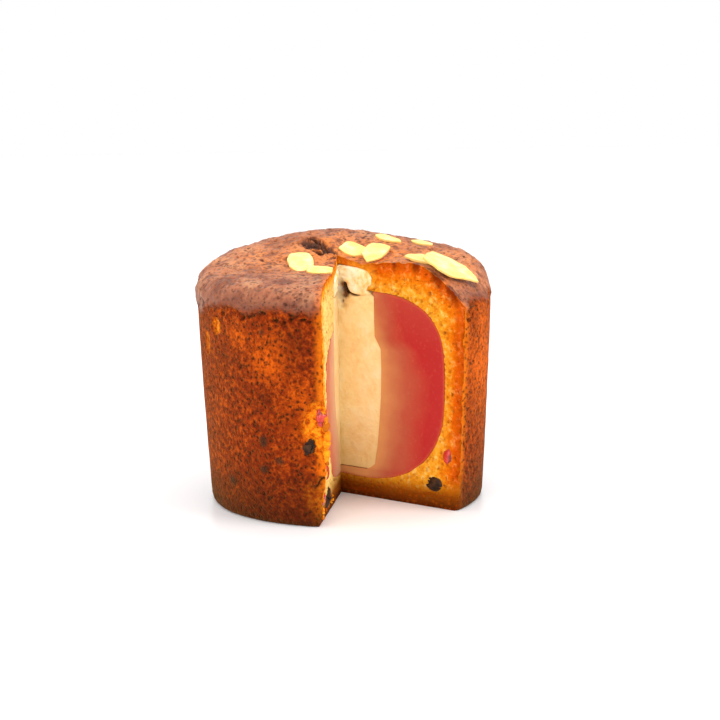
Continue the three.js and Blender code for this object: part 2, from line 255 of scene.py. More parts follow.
# ---- Meshes ----------------------------------------------------------------------------------
@dataclass
class Patch:
    """A grid of points that becomes part of a mesh.

    Attributes:
        points: Places in millimetres, shaped (rows, columns, 3).
        finish: Number of the mesh's finish that the patch wears.
        values: Named numbers for the finish to read, each shaped (rows, columns).
        turned: Whether the faces are wound the other way round.
    """

    points: np.ndarray
    finish: int = 0
    values: dict[str, np.ndarray] = field(default_factory=dict)
    turned: bool = False

    def triangles(self, start: int) -> np.ndarray:
        """Two triangles a cell, for points that are numbered row by row from start."""
        rows, columns = self.points.shape[:2]
        number = start + np.arange(rows * columns).reshape(rows, columns)
        a, b, c, d = number[:-1, :-1], number[:-1, 1:], number[1:, 1:], number[1:, :-1]
        faces = np.concatenate([np.stack([a, b, c], -1), np.stack([a, c, d], -1)], axis=0)
        faces = faces.reshape(-1, 3)
        return faces[:, ::-1] if self.turned else faces


def make_mesh(name: str, patches: Sequence[Patch], finishes: Sequence[bpy.types.Material],
              replaces: Sequence[str] = (), sharp: float = 70.0) -> bpy.types.Object:
    """Joins grids into one closed mesh that rides on the cake.

    Points that lie on each other become one, and triangles that shrink to a line are dropped. If
    the sum of each face's point times its normal is negative, the mesh is inside out, and every
    face is turned.

    Args:
        name: The piece's name.
        patches: Its grids.
        finishes: Its materials, in the order that the patches number them.
        replaces: The solids that it stands for.
        sharp: Angle in degrees past which an edge is a crease.

    Returns:
        The object.
    """
    starts = np.cumsum([0] + [p.points[..., 0].size for p in patches])
    places = np.concatenate([p.points.reshape(-1, 3) for p in patches])
    faces = np.concatenate([p.triangles(s) for p, s in zip(patches, starts)])
    worn = np.concatenate([np.full(2 * (p.points.shape[0] - 1) * (p.points.shape[1] - 1), p.finish)
                           for p in patches])
    _, first, where = np.unique(np.round(places, 4), axis=0, return_index=True,
                                return_inverse=True)
    faces = where.reshape(-1)[faces]
    whole = (faces[:, 0] != faces[:, 1]) & (faces[:, 1] != faces[:, 2]) & (faces[:, 2] != faces[:, 0])
    faces, worn, points = faces[whole], worn[whole], places[first]
    a, b, c = (points[faces[:, k]] for k in range(3))
    if np.einsum("ij,ij->", a, np.cross(b, c)) < 0:
        faces = faces[:, ::-1]

    mesh = bpy.data.meshes.new(name)
    mesh.vertices.add(len(points))
    mesh.vertices.foreach_set("co", (points * MM).astype(np.float32).ravel())
    mesh.loops.add(faces.size)
    mesh.loops.foreach_set("vertex_index", faces.astype(np.int32).ravel())
    mesh.polygons.add(len(faces))
    mesh.polygons.foreach_set("loop_start", np.arange(0, faces.size, 3, dtype=np.int32))
    mesh.polygons.foreach_set("material_index", worn.astype(np.int32))
    mesh.polygons.foreach_set("use_smooth", np.ones(len(faces), dtype=bool))
    mesh.update(calc_edges=True)
    names = sorted({key for p in patches for key in p.values})
    for key in names:
        flat = [p.values.get(key, np.zeros(p.points.shape[:2])).ravel() for p in patches]
        layer = mesh.attributes.new(key, "FLOAT", "POINT")
        layer.data.foreach_set("value", np.concatenate(flat)[first].astype(np.float32))
    mesh.validate()
    mesh.set_sharp_from_angle(angle=math.radians(sharp))
    for finish in finishes:
        mesh.materials.append(finish)
    piece = bpy.data.objects.new(name, mesh)
    bpy.context.scene.collection.objects.link(piece)
    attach(piece, "root")
    if replaces:
        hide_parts(*replaces)
    log.info("%s: %d triangles", name, len(mesh.polygons))
    return piece


def outward(points: np.ndarray) -> np.ndarray:
    """Unit normals of a grid: its change across the columns times its change across the rows."""
    normal = np.cross(np.gradient(points, axis=1), np.gradient(points, axis=0))
    return normal / np.maximum(np.linalg.norm(normal, axis=-1, keepdims=True), 1e-9)


def along(curve: np.ndarray, shares: np.ndarray) -> np.ndarray:
    """Points at those shares, from 0 to 1, of a broken line's length."""
    steps = np.linalg.norm(np.diff(curve, axis=0), axis=1)
    length = np.concatenate([[0], np.cumsum(steps)])
    return np.stack([np.interp(shares * length[-1], length, curve[:, k])
                     for k in range(curve.shape[1])], axis=-1)


# ---- The cake's form -------------------------------------------------------------------------
class Cut(Enum):
    """The two faces that the knife left."""

    LEFT = "left"
    RIGHT = "right"


@dataclass(frozen=True)
class Notch:
    """Where the slice was cut out: two upright faces that meet at a corner.

    Attributes:
        corner: Where they meet, in plan.
        left: Heading of the left face.
        left_low: Its heading at the base, as it slants away there.
        slant: Height below which it slants.
        right: Heading of the right face.
    """

    corner: tuple[float, float] = (-1.65, 0.17)
    left: float = -5.4
    left_low: float = -8.5
    slant: float = 14.0
    right: float = 53.7

    def heading(self, cut: Cut, up: np.ndarray | float = 99.0) -> np.ndarray:
        """Heading of a cut at a height, counted from the right one through the back."""
        up = np.asarray(up, dtype=float)
        if cut is Cut.RIGHT:
            return self.right + 0 * up
        return 360 + self.left_low + (self.left - self.left_low) * smoothstep(0, self.slant, up)

    def sweep(self, steps: int) -> np.ndarray:
        """Shares of the way from the right cut round the back to the left, closest at the cuts."""
        t = np.linspace(0, 1, steps)
        return t - 0.075 * np.sin(2 * np.pi * t)

    def headings(self, shares: np.ndarray, up: np.ndarray | float = 99.0) -> np.ndarray:
        """Headings at those shares of the way round, at a height."""
        return self.right + (self.heading(Cut.LEFT, up) - self.right) * shares

    def way(self, headings: np.ndarray) -> np.ndarray:
        """Level unit vectors, shaped (..., 2)."""
        a = np.radians(headings)
        return np.stack([np.sin(a), -np.cos(a)], axis=-1)

    def place(self, headings: np.ndarray, out: np.ndarray, up: np.ndarray) -> np.ndarray:
        """Points at a distance out from the corner and at a height."""
        plan = np.array(self.corner) + self.way(headings) * out[..., None]
        return np.concatenate([plan, np.broadcast_to(up, out.shape)[..., None]], axis=-1)

    def on_cut(self, cut: Cut, out: np.ndarray, up: np.ndarray) -> np.ndarray:
        """Points on a cut at a distance out from the corner and at a height."""
        return self.place(self.heading(cut, up), out, up)

    def out(self, points: np.ndarray) -> np.ndarray:
        """Level distance of points from the corner."""
        return np.linalg.norm(points[..., :2] - np.array(self.corner), axis=-1)

    def reach(self, headings: np.ndarray, radius: np.ndarray,
              centre: tuple[float, float] = (0.0, 0.0)) -> np.ndarray:
        """Distance from the corner to a circle: b + sqrt(b^2 - c^2 + r^2), with b the circle's
        centre measured along the heading and c its distance from the corner."""
        offset = np.array(centre) - np.array(self.corner)
        b = self.way(headings) @ offset
        return b + np.sqrt(np.maximum(b * b - offset @ offset + radius * radius, 0))

    def facing(self, cut: Cut, up: np.ndarray | float = 99.0) -> np.ndarray:
        """Unit vectors out of a cut's face at a height, into the open notch."""
        level = self.way(self.heading(cut, up) + (-90 if cut is Cut.RIGHT else 90))
        return np.concatenate([level, np.zeros(level.shape[:-1] + (1,))], axis=-1)

    def behind(self, points: np.ndarray, cut: Cut) -> np.ndarray:
        """How far points lie behind a cut's face, and 99 past the corner, where the cut ends."""
        plan = points[..., :2] - np.array(self.corner)
        ahead = np.sum(plan * self.way(self.heading(cut, points[..., 2])), axis=-1)
        back = -np.sum(plan * self.facing(cut, points[..., 2])[..., :2], axis=-1)
        return np.where(ahead > 0, back, 99.0)

    def leftward(self, headings: np.ndarray) -> np.ndarray:
        """0 at the right cut and through the back, 1 at the left cut."""
        whole = 360 + self.left - self.right
        return smoothstep(0.55 * whole, 0.94 * whole, headings - self.right)


@dataclass(frozen=True)
class Form:
    """The outside of the whole cake: a flared wall under a top that rises behind the middle.

    Attributes:
        base_radius: Radius at the base.
        rim_radius: Radius at the rim.
        rim: Height of the rim.
        barrel: How strongly the wall bows out between them.
        edge: Radius of the rounded lower edge.
        crown: Height of the level part of the top.
    """

    base_radius: float = 36.5
    rim_radius: float = 39.0
    rim: float = 55.8
    barrel: float = 0.9
    edge: float = 1.2
    crown: float = 61.4

    def rim_height(self, headings: np.ndarray) -> np.ndarray:
        """The rim dips by 2.4 round heading 58."""
        return self.rim - 2.4 * bell(turned_from(headings, 58), 38)

    def wall_radius(self, height: np.ndarray) -> np.ndarray:
        """A straight flare with a bow of b u (1 - u) added, u being the share of the height."""
        u = height / self.rim
        return self.base_radius + (self.rim_radius - self.base_radius) * u + self.barrel * u * (1 - u)

    def top_height(self, x: np.ndarray, y: np.ndarray) -> np.ndarray:
        """Height of the baked top.

        The rim's height, plus the rest times a shoulder (1 - r^8.5)^b of the radius r, where b
        makes the shoulder soft right of the notch. The rest is level, plus a smooth rise towards
        the back and a fall past the ridge, less a dip beside the corner, plus a swelling right of
        the notch.
        """
        share = np.clip(np.hypot(x, y) / self.rim_radius, 0, 1)
        headings = np.degrees(np.arctan2(x, -y))
        shoulder = (1 - share**8.5) ** (0.4 + 1.1 * bell(turned_from(headings, 52), 27))
        rise = smoothstep(-17, 19, y) * (4.6 + 4.0 * bell(x + 3, 19)) - 3.5 * smoothstep(17, 36, y)
        dip = 1.3 * bell(x - 3, 10) * bell(y + 1, 8)
        swelling = 2.4 * bell(x - 19, 10) * bell(y + 12, 10)
        low = self.rim_height(headings)
        return low + (self.crown + rise - dip + swelling - low) * shoulder


# A search for an outline halves its range this many times, which leaves far less than a micron.
HALVINGS = 30


@dataclass(frozen=True)
class Half:
    """The upper or the lower half of the fruit: its height at the right cut and at the left one,
    its fullness, which is the exponent of its section, and its rise to the right."""

    height: float
    left_height: float
    fullness: float
    tilt: float


@dataclass(frozen=True)
class Filling:
    """The cored fruit and the cream in it, as seen in an upright section through the corner.

    Attributes:
        centre: The fruit's middle.
        radius: Its radius in plan.
        heart: A point in its flesh as (out, up), from which rays run to its outline.
        start: The ray's angle at which the outline starts, under the corner.
        above: Its upper half.
        below: Its lower half.
        floor: Height of the core's floor.
        crown: Height of the cream's highest point.
        drop: How much lower the lump sits at the left cut.
        core: The core as height, distance from the corner at the right cut and at the left one.
        lump: The cream's swelling above the core, in the same way.
    """

    centre: tuple[float, float, float] = (1.15, 0.3, 33.4)
    radius: float = 31.8
    heart: tuple[float, float] = (6.0, 33.4)
    start: float = math.atan2(-28, -6)
    above: Half = Half(21.9, 13.6, 2.74, 0.096)
    below: Half = Half(28.0, 28.0, 2.4, -0.09)
    floor: float = 7.6
    crown: float = 62.1
    drop: float = 1.2
    core: tuple[tuple[float, float, float], ...] = (
        (7.6, 8.6, 1.6), (8.0, 9.8, 2.3), (9.2, 11.4, 2.6), (14, 12.3, 3.4), (18, 12.8, 5.8),
        (23, 13.3, 9.6), (28, 13.7, 11.4), (35, 13.9, 11.9), (40.6, 13.8, 11.8),
        (42.6, 12.6, 11.7), (43.8, 11.9, 11.6), (49, 11.8, 11.2), (54.6, 11.8, 10.6),
        (56, 11.4, 10.2))
    lump: tuple[tuple[float, float, float], ...] = (
        (54.4, 11.5, 10.4), (55.2, 10.9, 9.6), (55.9, 9.3, 8.9), (56.6, 10.2, 9.6),
        (57.6, 11.0, 10.2), (59.2, 11.2, 10.2), (60.5, 10.6, 9.2), (61.3, 9.0, 7.4),
        (61.9, 6.0, 4.6), (62.1, 3.0, 2.4))

    def inside(self, notch: Notch, headings: np.ndarray, out: np.ndarray,
               up: np.ndarray) -> np.ndarray:
        """Negative inside the whole fruit: (r/R)^n + (z/h)^n - 1, with n the half's fullness."""
        spot = notch.place(headings, out, up)
        across = np.hypot(spot[..., 0] - self.centre[0], spot[..., 1] - self.centre[1])
        rise = spot[..., 2] - self.centre[2]
        upper = rise > 0
        left = notch.leftward(headings)
        tilt = np.where(upper, self.above.tilt, self.below.tilt)
        rise = rise - tilt * spot[..., 0] * np.clip(np.abs(rise) / 10, 0, 1)
        heights = [h.height + (h.left_height - h.height) * left for h in (self.above, self.below)]
        height = np.where(upper, *heights)
        n = np.where(upper, self.above.fullness, self.below.fullness)
        return (across / self.radius) ** n + (np.abs(rise) / height) ** n - 1

    def skin(self, notch: Notch, shares: np.ndarray, angles: np.ndarray,
             grow: float = 0.0) -> np.ndarray:
        """The fruit's outline, as (out, up) along rays at those angles from a point in its flesh.

        HALVINGS halvings find where each ray leaves the fruit. grow moves the outline outwards.
        """
        way = np.stack([np.cos(angles), np.sin(angles)], axis=-1)
        near, far = np.zeros(angles.shape), np.full(angles.shape, 45.0)
        for _ in range(HALVINGS):
            middle = (near + far) / 2
            out, up = np.moveaxis(self.heart + middle[..., None] * way, -1, 0)
            held = self.inside(notch, notch.headings(shares, up), out, up) < 0
            near, far = np.where(held, middle, near), np.where(held, far, middle)
        return self.heart + (near + grow)[..., None] * way

    def brim(self, notch: Notch, shares: np.ndarray) -> np.ndarray:
        """The ray's angle at which the skin meets the core's wall, found by halvings."""
        left = notch.leftward(notch.headings(shares))
        low, high = np.full(shares.shape, 0.3), np.full(shares.shape, math.radians(100))
        for _ in range(HALVINGS):
            middle = (low + high) / 2
            spot = self.skin(notch, shares, middle)
            beyond = spot[..., 0] > self.level(self.core, spot[..., 1], left)
            low, high = np.where(beyond, middle, low), np.where(beyond, high, middle)
        return low

    def level(self, table: Sequence[tuple[float, float, float]], up: np.ndarray,
              leftward: np.ndarray | float) -> np.ndarray:
        """Distance from the corner at a height, between the right cut's table and the left's."""
        heights, right, left = np.array(table).T
        return (np.interp(up, heights, right) * (1 - leftward)
                + np.interp(up, heights, left) * leftward)

    def column(self, up: np.ndarray, leftward: np.ndarray | float) -> np.ndarray:
        """The cream's side as (out, up): the core's wall, a neck, and the lump above it, which
        sits a little lower at the left cut."""
        core, lump = self.level(self.core, up, leftward), self.level(self.lump, up, leftward)
        out = np.where(up < 54.6, core, np.where(up < 55.6, np.minimum(core, lump), lump))
        return np.stack([out, up - self.drop * leftward * smoothstep(54, 60, up) + 0 * out], axis=-1)


NOTCH = Notch()
FORM = Form()
FILLING = Filling()


# ---- Sponge ----------------------------------------------------------------------------------
@dataclass(frozen=True)
class Tear:
    """A place where the wall's crust came off: its heading, height, half width along the wall,
    half height, depth, and how far down to the pale crumb it goes, from 0 to 1."""

    heading: float
    height: float
    wide: float
    tall: float
    depth: float
    bare: float = 1.0


@dataclass(frozen=True)
class Spot:
    """A round place on the wall or the top: heading, height, half width, half height, strength."""

    heading: float
    height: float
    wide: float
    tall: float
    strength: float = 1.0


@dataclass
class Sponge:
    """The baked cake: crust outside, open crumb on the two cuts, and a hollow round the filling.

    Attributes:
        wall_rows: Rows of the mesh up the wall.
        top_rows: Rows from the rim to the corner of the cuts.
        columns: Headings from cut to cut.
        face_columns: Columns across each cut face.
        base_rows: Rows from the middle of the base to its rounded edge.
        level_rows: Rows round the corner on the top that lie level.
        turns: Degrees round the lower edge, one for each of its rows.
        tears: Where the crust came off the wall.
        sunk_raisins: Where a raisin lies just under the wall's crust.
        orange_and_lit_spots: Orange where the wall baked less, and painted light on the right side and by
            the notch.
        browned: Where the wall baked darker.
        pits: Deep pits in the crust under the rim.
        burns: Scorched places along the right cut: distance from the corner, and size.
        splits: The burst's splits: distance behind its line, start and end in x, and half width.
    """

    wall_rows: int = 122
    top_rows: int = 88
    columns: int = 366
    face_columns: int = 32
    base_rows: int = 6
    level_rows: int = 6
    turns: tuple[float, ...] = (22.5, 45, 67.5, 90)
    tears: tuple[Tear, ...] = (
        Tear(-6.5, 25.6, 6.8, 8.2, 1.1), Tear(-8.5, 8.4, 5.0, 4.8, 0.4, 0.22),
        Tear(-57.0, 49.6, 2.0, 2.2, 0.6, 0.85), Tear(-66.0, 44.5, 1.5, 2.8, 0.3, 0.5),
        Tear(112.0, 40.0, 1.6, 2.6, 0.6, 0.7), Tear(-150.0, 46.0, 2.4, 1.6, 0.7, 0.8))
    sunk_raisins: tuple[Spot, ...] = (
        Spot(-33.0, 21.5, 1.3, 1.8), Spot(-26.0, 16.8, 1.5, 1.2, 0.8),
        Spot(-33.5, 14.2, 1.4, 1.3, 0.9), Spot(-52.0, 9.5, 1.8, 1.5, 0.9),
        Spot(-31.5, 49.5, 0.9, 1.2, 0.7), Spot(96.0, 22.0, 1.4, 1.2), Spot(150.0, 33.0, 1.2, 1.5),
        Spot(-120.0, 27.0, 1.5, 1.2), Spot(-95.0, 12.0, 1.2, 1.4, 0.8))
    # Some are the wall's own less-baked orange; the one on the right side, which faces the key lamp, and
    # those by the notch are painted light.
    orange_and_lit_spots: tuple[Spot, ...] = (
        Spot(-29.0, 43.0, 6.5, 7.0, 0.9), Spot(-17.0, 33.0, 5.0, 6.0, 0.5),
        Spot(-43.0, 48.0, 5.0, 4.0, 0.55), Spot(-5.0, 40.0, 3.6, 17.0, 0.9),
        Spot(-24.0, 29.0, 4.0, 4.0, 0.3),
        Spot(-8.0, 26.0, 9.5, 9.0, 0.65), Spot(-9.0, 15.4, 4.6, 2.4, 0.85),
        Spot(70.0, 40.0, 13.0, 20.0, 1.0), Spot(140.0, 44.0, 9.0, 8.0, 0.6),
        Spot(-105.0, 42.0, 8.0, 9.0, 0.6), Spot(-160.0, 36.0, 9.0, 7.0, 0.5))
    browned: tuple[Spot, ...] = (
        Spot(-18.0, 47.0, 5.0, 8.0, 0.9), Spot(-15.0, 10.0, 9.0, 12.0, 0.6),
        Spot(-35.0, 12.0, 12.0, 8.0, 0.4), Spot(-30.0, 33.0, 5.0, 4.0, 0.5),
        Spot(-50.0, 41.0, 6.0, 5.0, 0.5), Spot(110.0, 14.0, 14.0, 8.0, 0.5),
        Spot(170.0, 20.0, 16.0, 12.0, 0.5), Spot(-110.0, 22.0, 12.0, 12.0, 0.4))
    pits: tuple[Spot, ...] = (
        Spot(-67.5, 54.6, 0.9, 1.5), Spot(-51.5, 53.0, 0.8, 1.0), Spot(-25.6, 52.6, 1.3, 0.6),
        Spot(-22.0, 52.2, 0.8, 0.7), Spot(-19.3, 53.0, 0.9, 0.6), Spot(-14.6, 53.0, 1.1, 0.5),
        Spot(-12.2, 52.4, 0.7, 0.5), Spot(-40.0, 52.6, 0.7, 0.8), Spot(-57.0, 51.8, 0.8, 0.6))
    burns: tuple[tuple[float, float], ...] = ((18.6, 0.7), (25.2, 1.3), (31.8, 2.0), (36.4, 1.8))
    splits: tuple[tuple[float, float, float, float], ...] = (
        (-0.5, -11.4, -0.6, 1.3), (1.6, -13.4, -3.4, 1.0), (-2.4, -9.2, -1.2, 0.9),
        (3.4, -11.5, -5.0, 0.6))

    def section(self, shares: np.ndarray) -> tuple[np.ndarray, np.ndarray, np.ndarray]:
        """The outline from the middle of the base, out, up the wall and in over the top.

        The base is level. A quarter circle leads into the wall, whose height is stretched to the
        rim's. On the top the distance goes in as the cosine of a quarter turn, so that its rows
        lie closest at the rim.

        Args:
            shares: One for each column, from the right cut to the left one.

        Returns:
            Headings, distances from the corner and heights, each shaped (rows, columns).
        """
        level = FORM.edge + (FORM.rim - FORM.edge) * np.linspace(0, 1, self.wall_rows)[1:, None]
        turn = np.radians(self.turns)[:, None]
        rounded = FORM.edge * (1 - np.cos(turn))
        inward = np.cos(np.linspace(0, np.pi / 2, self.top_rows))[1:, None]
        low, foot = NOTCH.headings(shares, 0.0), FORM.base_radius - FORM.edge
        curve, side = NOTCH.headings(shares, rounded), NOTCH.headings(shares, level)
        high = np.broadcast_to(NOTCH.headings(shares), (len(inward), len(shares)))
        base = np.linspace(0, 1, self.base_rows)[:, None] * NOTCH.reach(low, foot)
        edge = NOTCH.reach(curve, foot + FORM.edge * np.sin(turn))
        wall = NOTCH.reach(side, FORM.wall_radius(level))
        top = inward * NOTCH.reach(high, np.array(FORM.rim_radius))
        spot = NOTCH.place(high, top, np.array(0.0))
        up = np.concatenate([0 * base, rounded + 0 * edge, level * FORM.rim_height(side) / FORM.rim,
                             FORM.top_height(spot[..., 0], spot[..., 1])])
        headings = np.concatenate([np.broadcast_to(low, base.shape), curve, side, high])
        return headings, np.concatenate([base, edge, wall, top]), up

    def near(self, points: np.ndarray, spot: Spot | Tear) -> np.ndarray:
        """Distance of points from a place on the wall, as a share of its half sizes."""
        turn = turned_from(bearing(points), spot.heading)
        along_wall = np.radians(turn) * np.hypot(points[..., 0], points[..., 1])
        return np.hypot(along_wall / spot.wide, (points[..., 2] - spot.height) / spot.tall)

    def marked(self, points: np.ndarray, spots: Sequence[Spot],
               fall: Callable[[np.ndarray], np.ndarray]) -> np.ndarray:
        """The strongest mark at each point: each spot's strength times a fall-off, fall, of the
        distance from it."""
        return np.max([spot.strength * fall(self.near(points, spot)) for spot in spots], axis=0)

    def torn(self, points: np.ndarray) -> tuple[np.ndarray, np.ndarray]:
        """How far the crust is gone and how much deeper the wall lies there.

        Each tear is a round place with a ragged border, steep below and faint above.
        """
        ragged = 0.30 * rough(points, 3.2, 61) + 0.12 * swell(points, 1.1, 62)
        bare, depth = np.zeros(points.shape[:-1]), np.zeros(points.shape[:-1])
        for tear in self.tears:
            away = self.near(points, tear) ** 1.5
            gone = smoothstep(-0.05, 0.16, 1 - away + ragged)
            bare = np.maximum(bare, smoothstep(-0.2, 0.35, 1 - away + ragged) * tear.bare)
            depth = np.maximum(depth, gone * tear.depth)
        return bare, depth

    def above_cap_edge(self, points: np.ndarray) -> np.ndarray:
        """How far points lie above the top crust's ragged lower edge, which hangs just below the
        rim."""
        headings = bearing(points)
        line = FORM.rim_height(headings) - 1.2 + 1.3 * swell(points * [1, 1, 0.2], 6, 21)
        line -= 2.2 * bell(turned_from(headings, -72), 12)
        line += 2.0 * bell(turned_from(headings, 68), 18)
        return points[..., 2] - line + 0.9 * rough(points, 2.0, 22)

    def crack(self, points: np.ndarray) -> tuple[np.ndarray, np.ndarray, np.ndarray]:
        """The burst in the slope behind the corner: ragged splits side by side, each a bent line
        that tapers to both ends, in front of a lifted lip.

        Returns:
            How deep in a split each point lies, how far behind them the crust is lifted, and how
            dark the crust is round them.
        """
        x, y = points[..., 0], points[..., 1]
        line = 4.3 - 0.40 * (x + 6.8) - 0.035 * (x + 6.8) ** 2 + 1.1 * rough(points, 2.2, 31, 2)
        span = smoothstep(-13.4, -10.6, x) * (1 - smoothstep(-3.0, -1.0, x))
        inside = np.zeros(x.shape)
        for offset, start, end, width in self.splits:
            taper = smoothstep(start, start + 2.2, x) * (1 - smoothstep(end - 2.2, end, x))
            reach = width * (0.35 + 0.65 * taper) * (1 + 0.7 * swell(points, 1.2, 33))
            deep = np.clip(1 - np.abs(y - line - offset) / np.maximum(reach, 0.1), 0, 1) ** 0.5
            inside = np.maximum(inside, deep * taper)
        lifted = smoothstep(1.6, 3.4, y - line) * bell(np.maximum(y - line, 0), 8) * span
        burst = bell(y - line - 1.0, 3.0) * span * (0.55 + 0.6 * rough(points, 1.8, 34))
        return inside, lifted, burst

    def top_form(self, points: np.ndarray, cap: np.ndarray) -> tuple[np.ndarray, np.ndarray]:
        """Relief of the top, and how deep in a pit each point lies.

        Slow lumps, strongest at the rim, with creases along the zeros of a bent noise, bubbles
        and pits. Under the almonds it lies flat.
        """
        over_rim = points[..., 2] - FORM.rim_height(bearing(points))
        domed = smoothstep(0.3, 2.5, points[..., 2] - FORM.rim + 1.0) * cap
        bubbles, pitted = pores(points, 5.2, 41, 0.34, 0.8), pores(points, 2.1, 45, 0.75, 0.62)
        creased = np.abs(swell(points + 1.2 * swell(points, 4.0, 48)[..., None], 2.1, 46))
        lumps = (0.42 + 0.25 * bell(over_rim + 0.2, 3.2)) * rough(points, 8.0, 42)
        lumps += 0.20 * rough(points, 2.6, 43, 2)
        form = lumps * (0.5 + 0.5 * domed) + 0.34 * cap - 0.7 * bubbles - 0.5 * pitted
        form += 0.14 * rough(points, 1.3, 44, 2) - 0.26 * (1 - np.clip(creased * 5, 0, 1))
        under = np.max([smoothstep(7.5, 4.5, np.hypot(points[..., 0] - almond.x,
                                                      points[..., 1] - almond.y) / almond.size)
                        for almond in Almonds.slices], axis=0)
        return form * (1 - 0.8 * under) - 0.15 * under, np.maximum(bubbles, 0.8 * pitted)

    def wall_form(self, points: np.ndarray, raisin: np.ndarray) -> tuple[np.ndarray, np.ndarray]:
        """Relief of the wall, with pores and bulges over sunken raisins, and how deep in a pore
        each point lies."""
        small, fine = pores(points, 1.7, 51, 0.55, 0.62), pores(points, 1.05, 52, 0.55, 0.45)
        form = 0.14 * rough(points, 6.0, 53) - 0.30 * small - 0.18 * fine + 0.18 * raisin
        return form, np.clip(0.8 * small + 0.6 * fine, 0, 1)

    def undercut(self, points: np.ndarray, above_edge: np.ndarray, cap: np.ndarray) -> np.ndarray:
        """How deep points lie under the rim: a band of pores, a ragged groove under the cap's
        edge, deepest at the front, and the pits. The finish darkens all of them as painted shade, and
        the groove's dark band is a painted shadow of the cap's overhang."""
        headings = bearing(points)
        over_rim = points[..., 2] - FORM.rim_height(headings)
        groove = smoothstep(0.0, 0.5, rough(points, 3.0, 64, 2) + 0.15) * (1 - 0.5 * cap)
        groove *= 0.4 + 0.6 * bell(turned_from(headings, -20), 22)
        return np.max([pores(points, 2.0, 47, 0.75, 0.8) * bell(over_rim + 3.0, 1.5),
                       # The groove's band also stands as a painted shadow of the cap's overhang.
                       0.8 * bell(above_edge + 0.5, 0.5) * groove,
                       self.marked(points, self.pits, lambda far: np.clip(1.3 * (1 - far), 0, 1))],
                      axis=0)

    def split(self, points: np.ndarray) -> np.ndarray:
        """A wavy crack that runs from the left cut into the wall and fades, 1 in its middle."""
        step = points[..., 2] - 13.0 - 0.12 * bearing(points) - 1.6 * swell(points, 2.6, 58)
        return bell(step, 0.3) * (1 - smoothstep(1.5, 5.5, np.abs(NOTCH.behind(points, Cut.LEFT))))

    def crust_relief(self, points: np.ndarray) -> tuple[np.ndarray, dict[str, np.ndarray]]:
        """How far the crust stands out or in, and what its finish reads.

        The top's and the wall's relief meet at the cap's ragged edge. Where the crust is torn
        off, crumb shows further in. Then come the burst, chips along the cuts and the split.
        """
        above_edge, (torn, sunk) = self.above_cap_edge(points), self.torn(points)
        cap, above_rim = smoothstep(-0.4, 0.4, above_edge), points[..., 2] > FORM.rim
        raisin = self.marked(points, self.sunk_raisins, lambda far: np.clip(1.25 - far, 0, 1))
        (top, pits), (wall, holes) = self.top_form(points, cap), self.wall_form(points, raisin)
        deep, split = self.undercut(points, above_edge, cap), self.split(points)
        crack, lifted, burst = self.crack(points)
        edges = np.min([np.abs(NOTCH.behind(points, cut)) for cut in Cut], axis=0)

        height = top * cap + wall * (1 - cap) - 0.85 * deep * (1 - 0.4 * cap)
        crumb = -0.55 * pores(points, 2.2, 54, 0.5, 0.8) + 0.22 * rough(points, 2.0, 55, 3)
        gone = np.clip(sunk / 0.4, 0, 1)
        height = height * (1 - gone) + crumb * gone - sunk
        height += (0.9 * lifted - 1.9 * crack + 0.6 * burst * rough(points, 1.5, 35, 2)) * above_rim
        chips = smoothstep(0.05, 0.5, swell(points, 2.2, 57)) * (1 - smoothstep(0.0, 1.1, edges))
        height -= 0.5 * chips * (1 - 0.6 * cap) + 0.6 * split

        # Orange where the wall baked less, and painted light on the right side and by the notch.
        glow = self.marked(points, self.orange_and_lit_spots, lambda far: bell(far, 0.75))
        browned = self.marked(points, self.browned, lambda far: bell(far, 0.8))
        warm = bell(np.hypot((points[..., 0] - 4) / 28, (points[..., 1] + 1) / 12), 1.05)
        warm = np.clip(1.1 * warm * (1 + 0.8 * rough(points, 6.0, 60)), 0, 1)
        over_rim = points[..., 2] - FORM.rim_height(bearing(points))
        rim = smoothstep(5.0, -0.5, over_rim) * np.clip(0.9 + 0.5 * rough(points, 9.0, 65), 0, 1)
        return height, {
            "torn": torn, "crack": np.maximum(crack * above_rim, 0.8 * split),
            "warm": warm * above_rim, "skin": smoothstep(-0.9, 2.0, above_edge), "rim": rim,
            "burst": np.clip(burst, 0, 1) * above_rim, "burnt": self.burnt(points),
            "pore": np.maximum(holes * (1 - cap), cap * pits), "deep": deep, "raisin": raisin,
            "glow": np.clip(glow * (1 + 0.6 * rough(points, 5.0, 49)), 0, 1) * (1 - cap),
            "browned": np.clip(browned * (1 + 0.5 * rough(points, 4.0, 50)), 0, 1),
            "edge": 1 - smoothstep(0.0, 2.6, edges + 0.7 * rough(points, 2.0, 59, 2))}

    def burnt(self, points: np.ndarray) -> np.ndarray:
        """How near points lie, in plan, to the scorched places along the right cut."""
        ragged, near = 0.4 * rough(points, 1.6, 63), []
        for out, size in self.burns:
            plan = NOTCH.on_cut(Cut.RIGHT, np.array(out), np.array(0.0))[:2]
            near.append(np.linalg.norm(points[..., :2] - plan, axis=-1) / size)
        return smoothstep(1.3, 0.5, np.min(near, axis=0) + ragged)

    def crumb_relief(self, points: np.ndarray) -> tuple[np.ndarray, np.ndarray]:
        """How far the cut crumb stands out or in, and how deep in a pore each point lies."""
        large = pores(points, 2.9, 71, 0.55, 1.0)
        small = pores(points, 1.35, 72, 0.65, 0.55)
        fine = pores(points, 0.8, 73, 0.5, 0.36)
        height = 0.34 * rough(points, 2.2, 74) - 0.75 * large - 0.42 * small - 0.16 * fine
        return height, np.clip(large + 0.8 * small + 0.4 * fine, 0, 1)

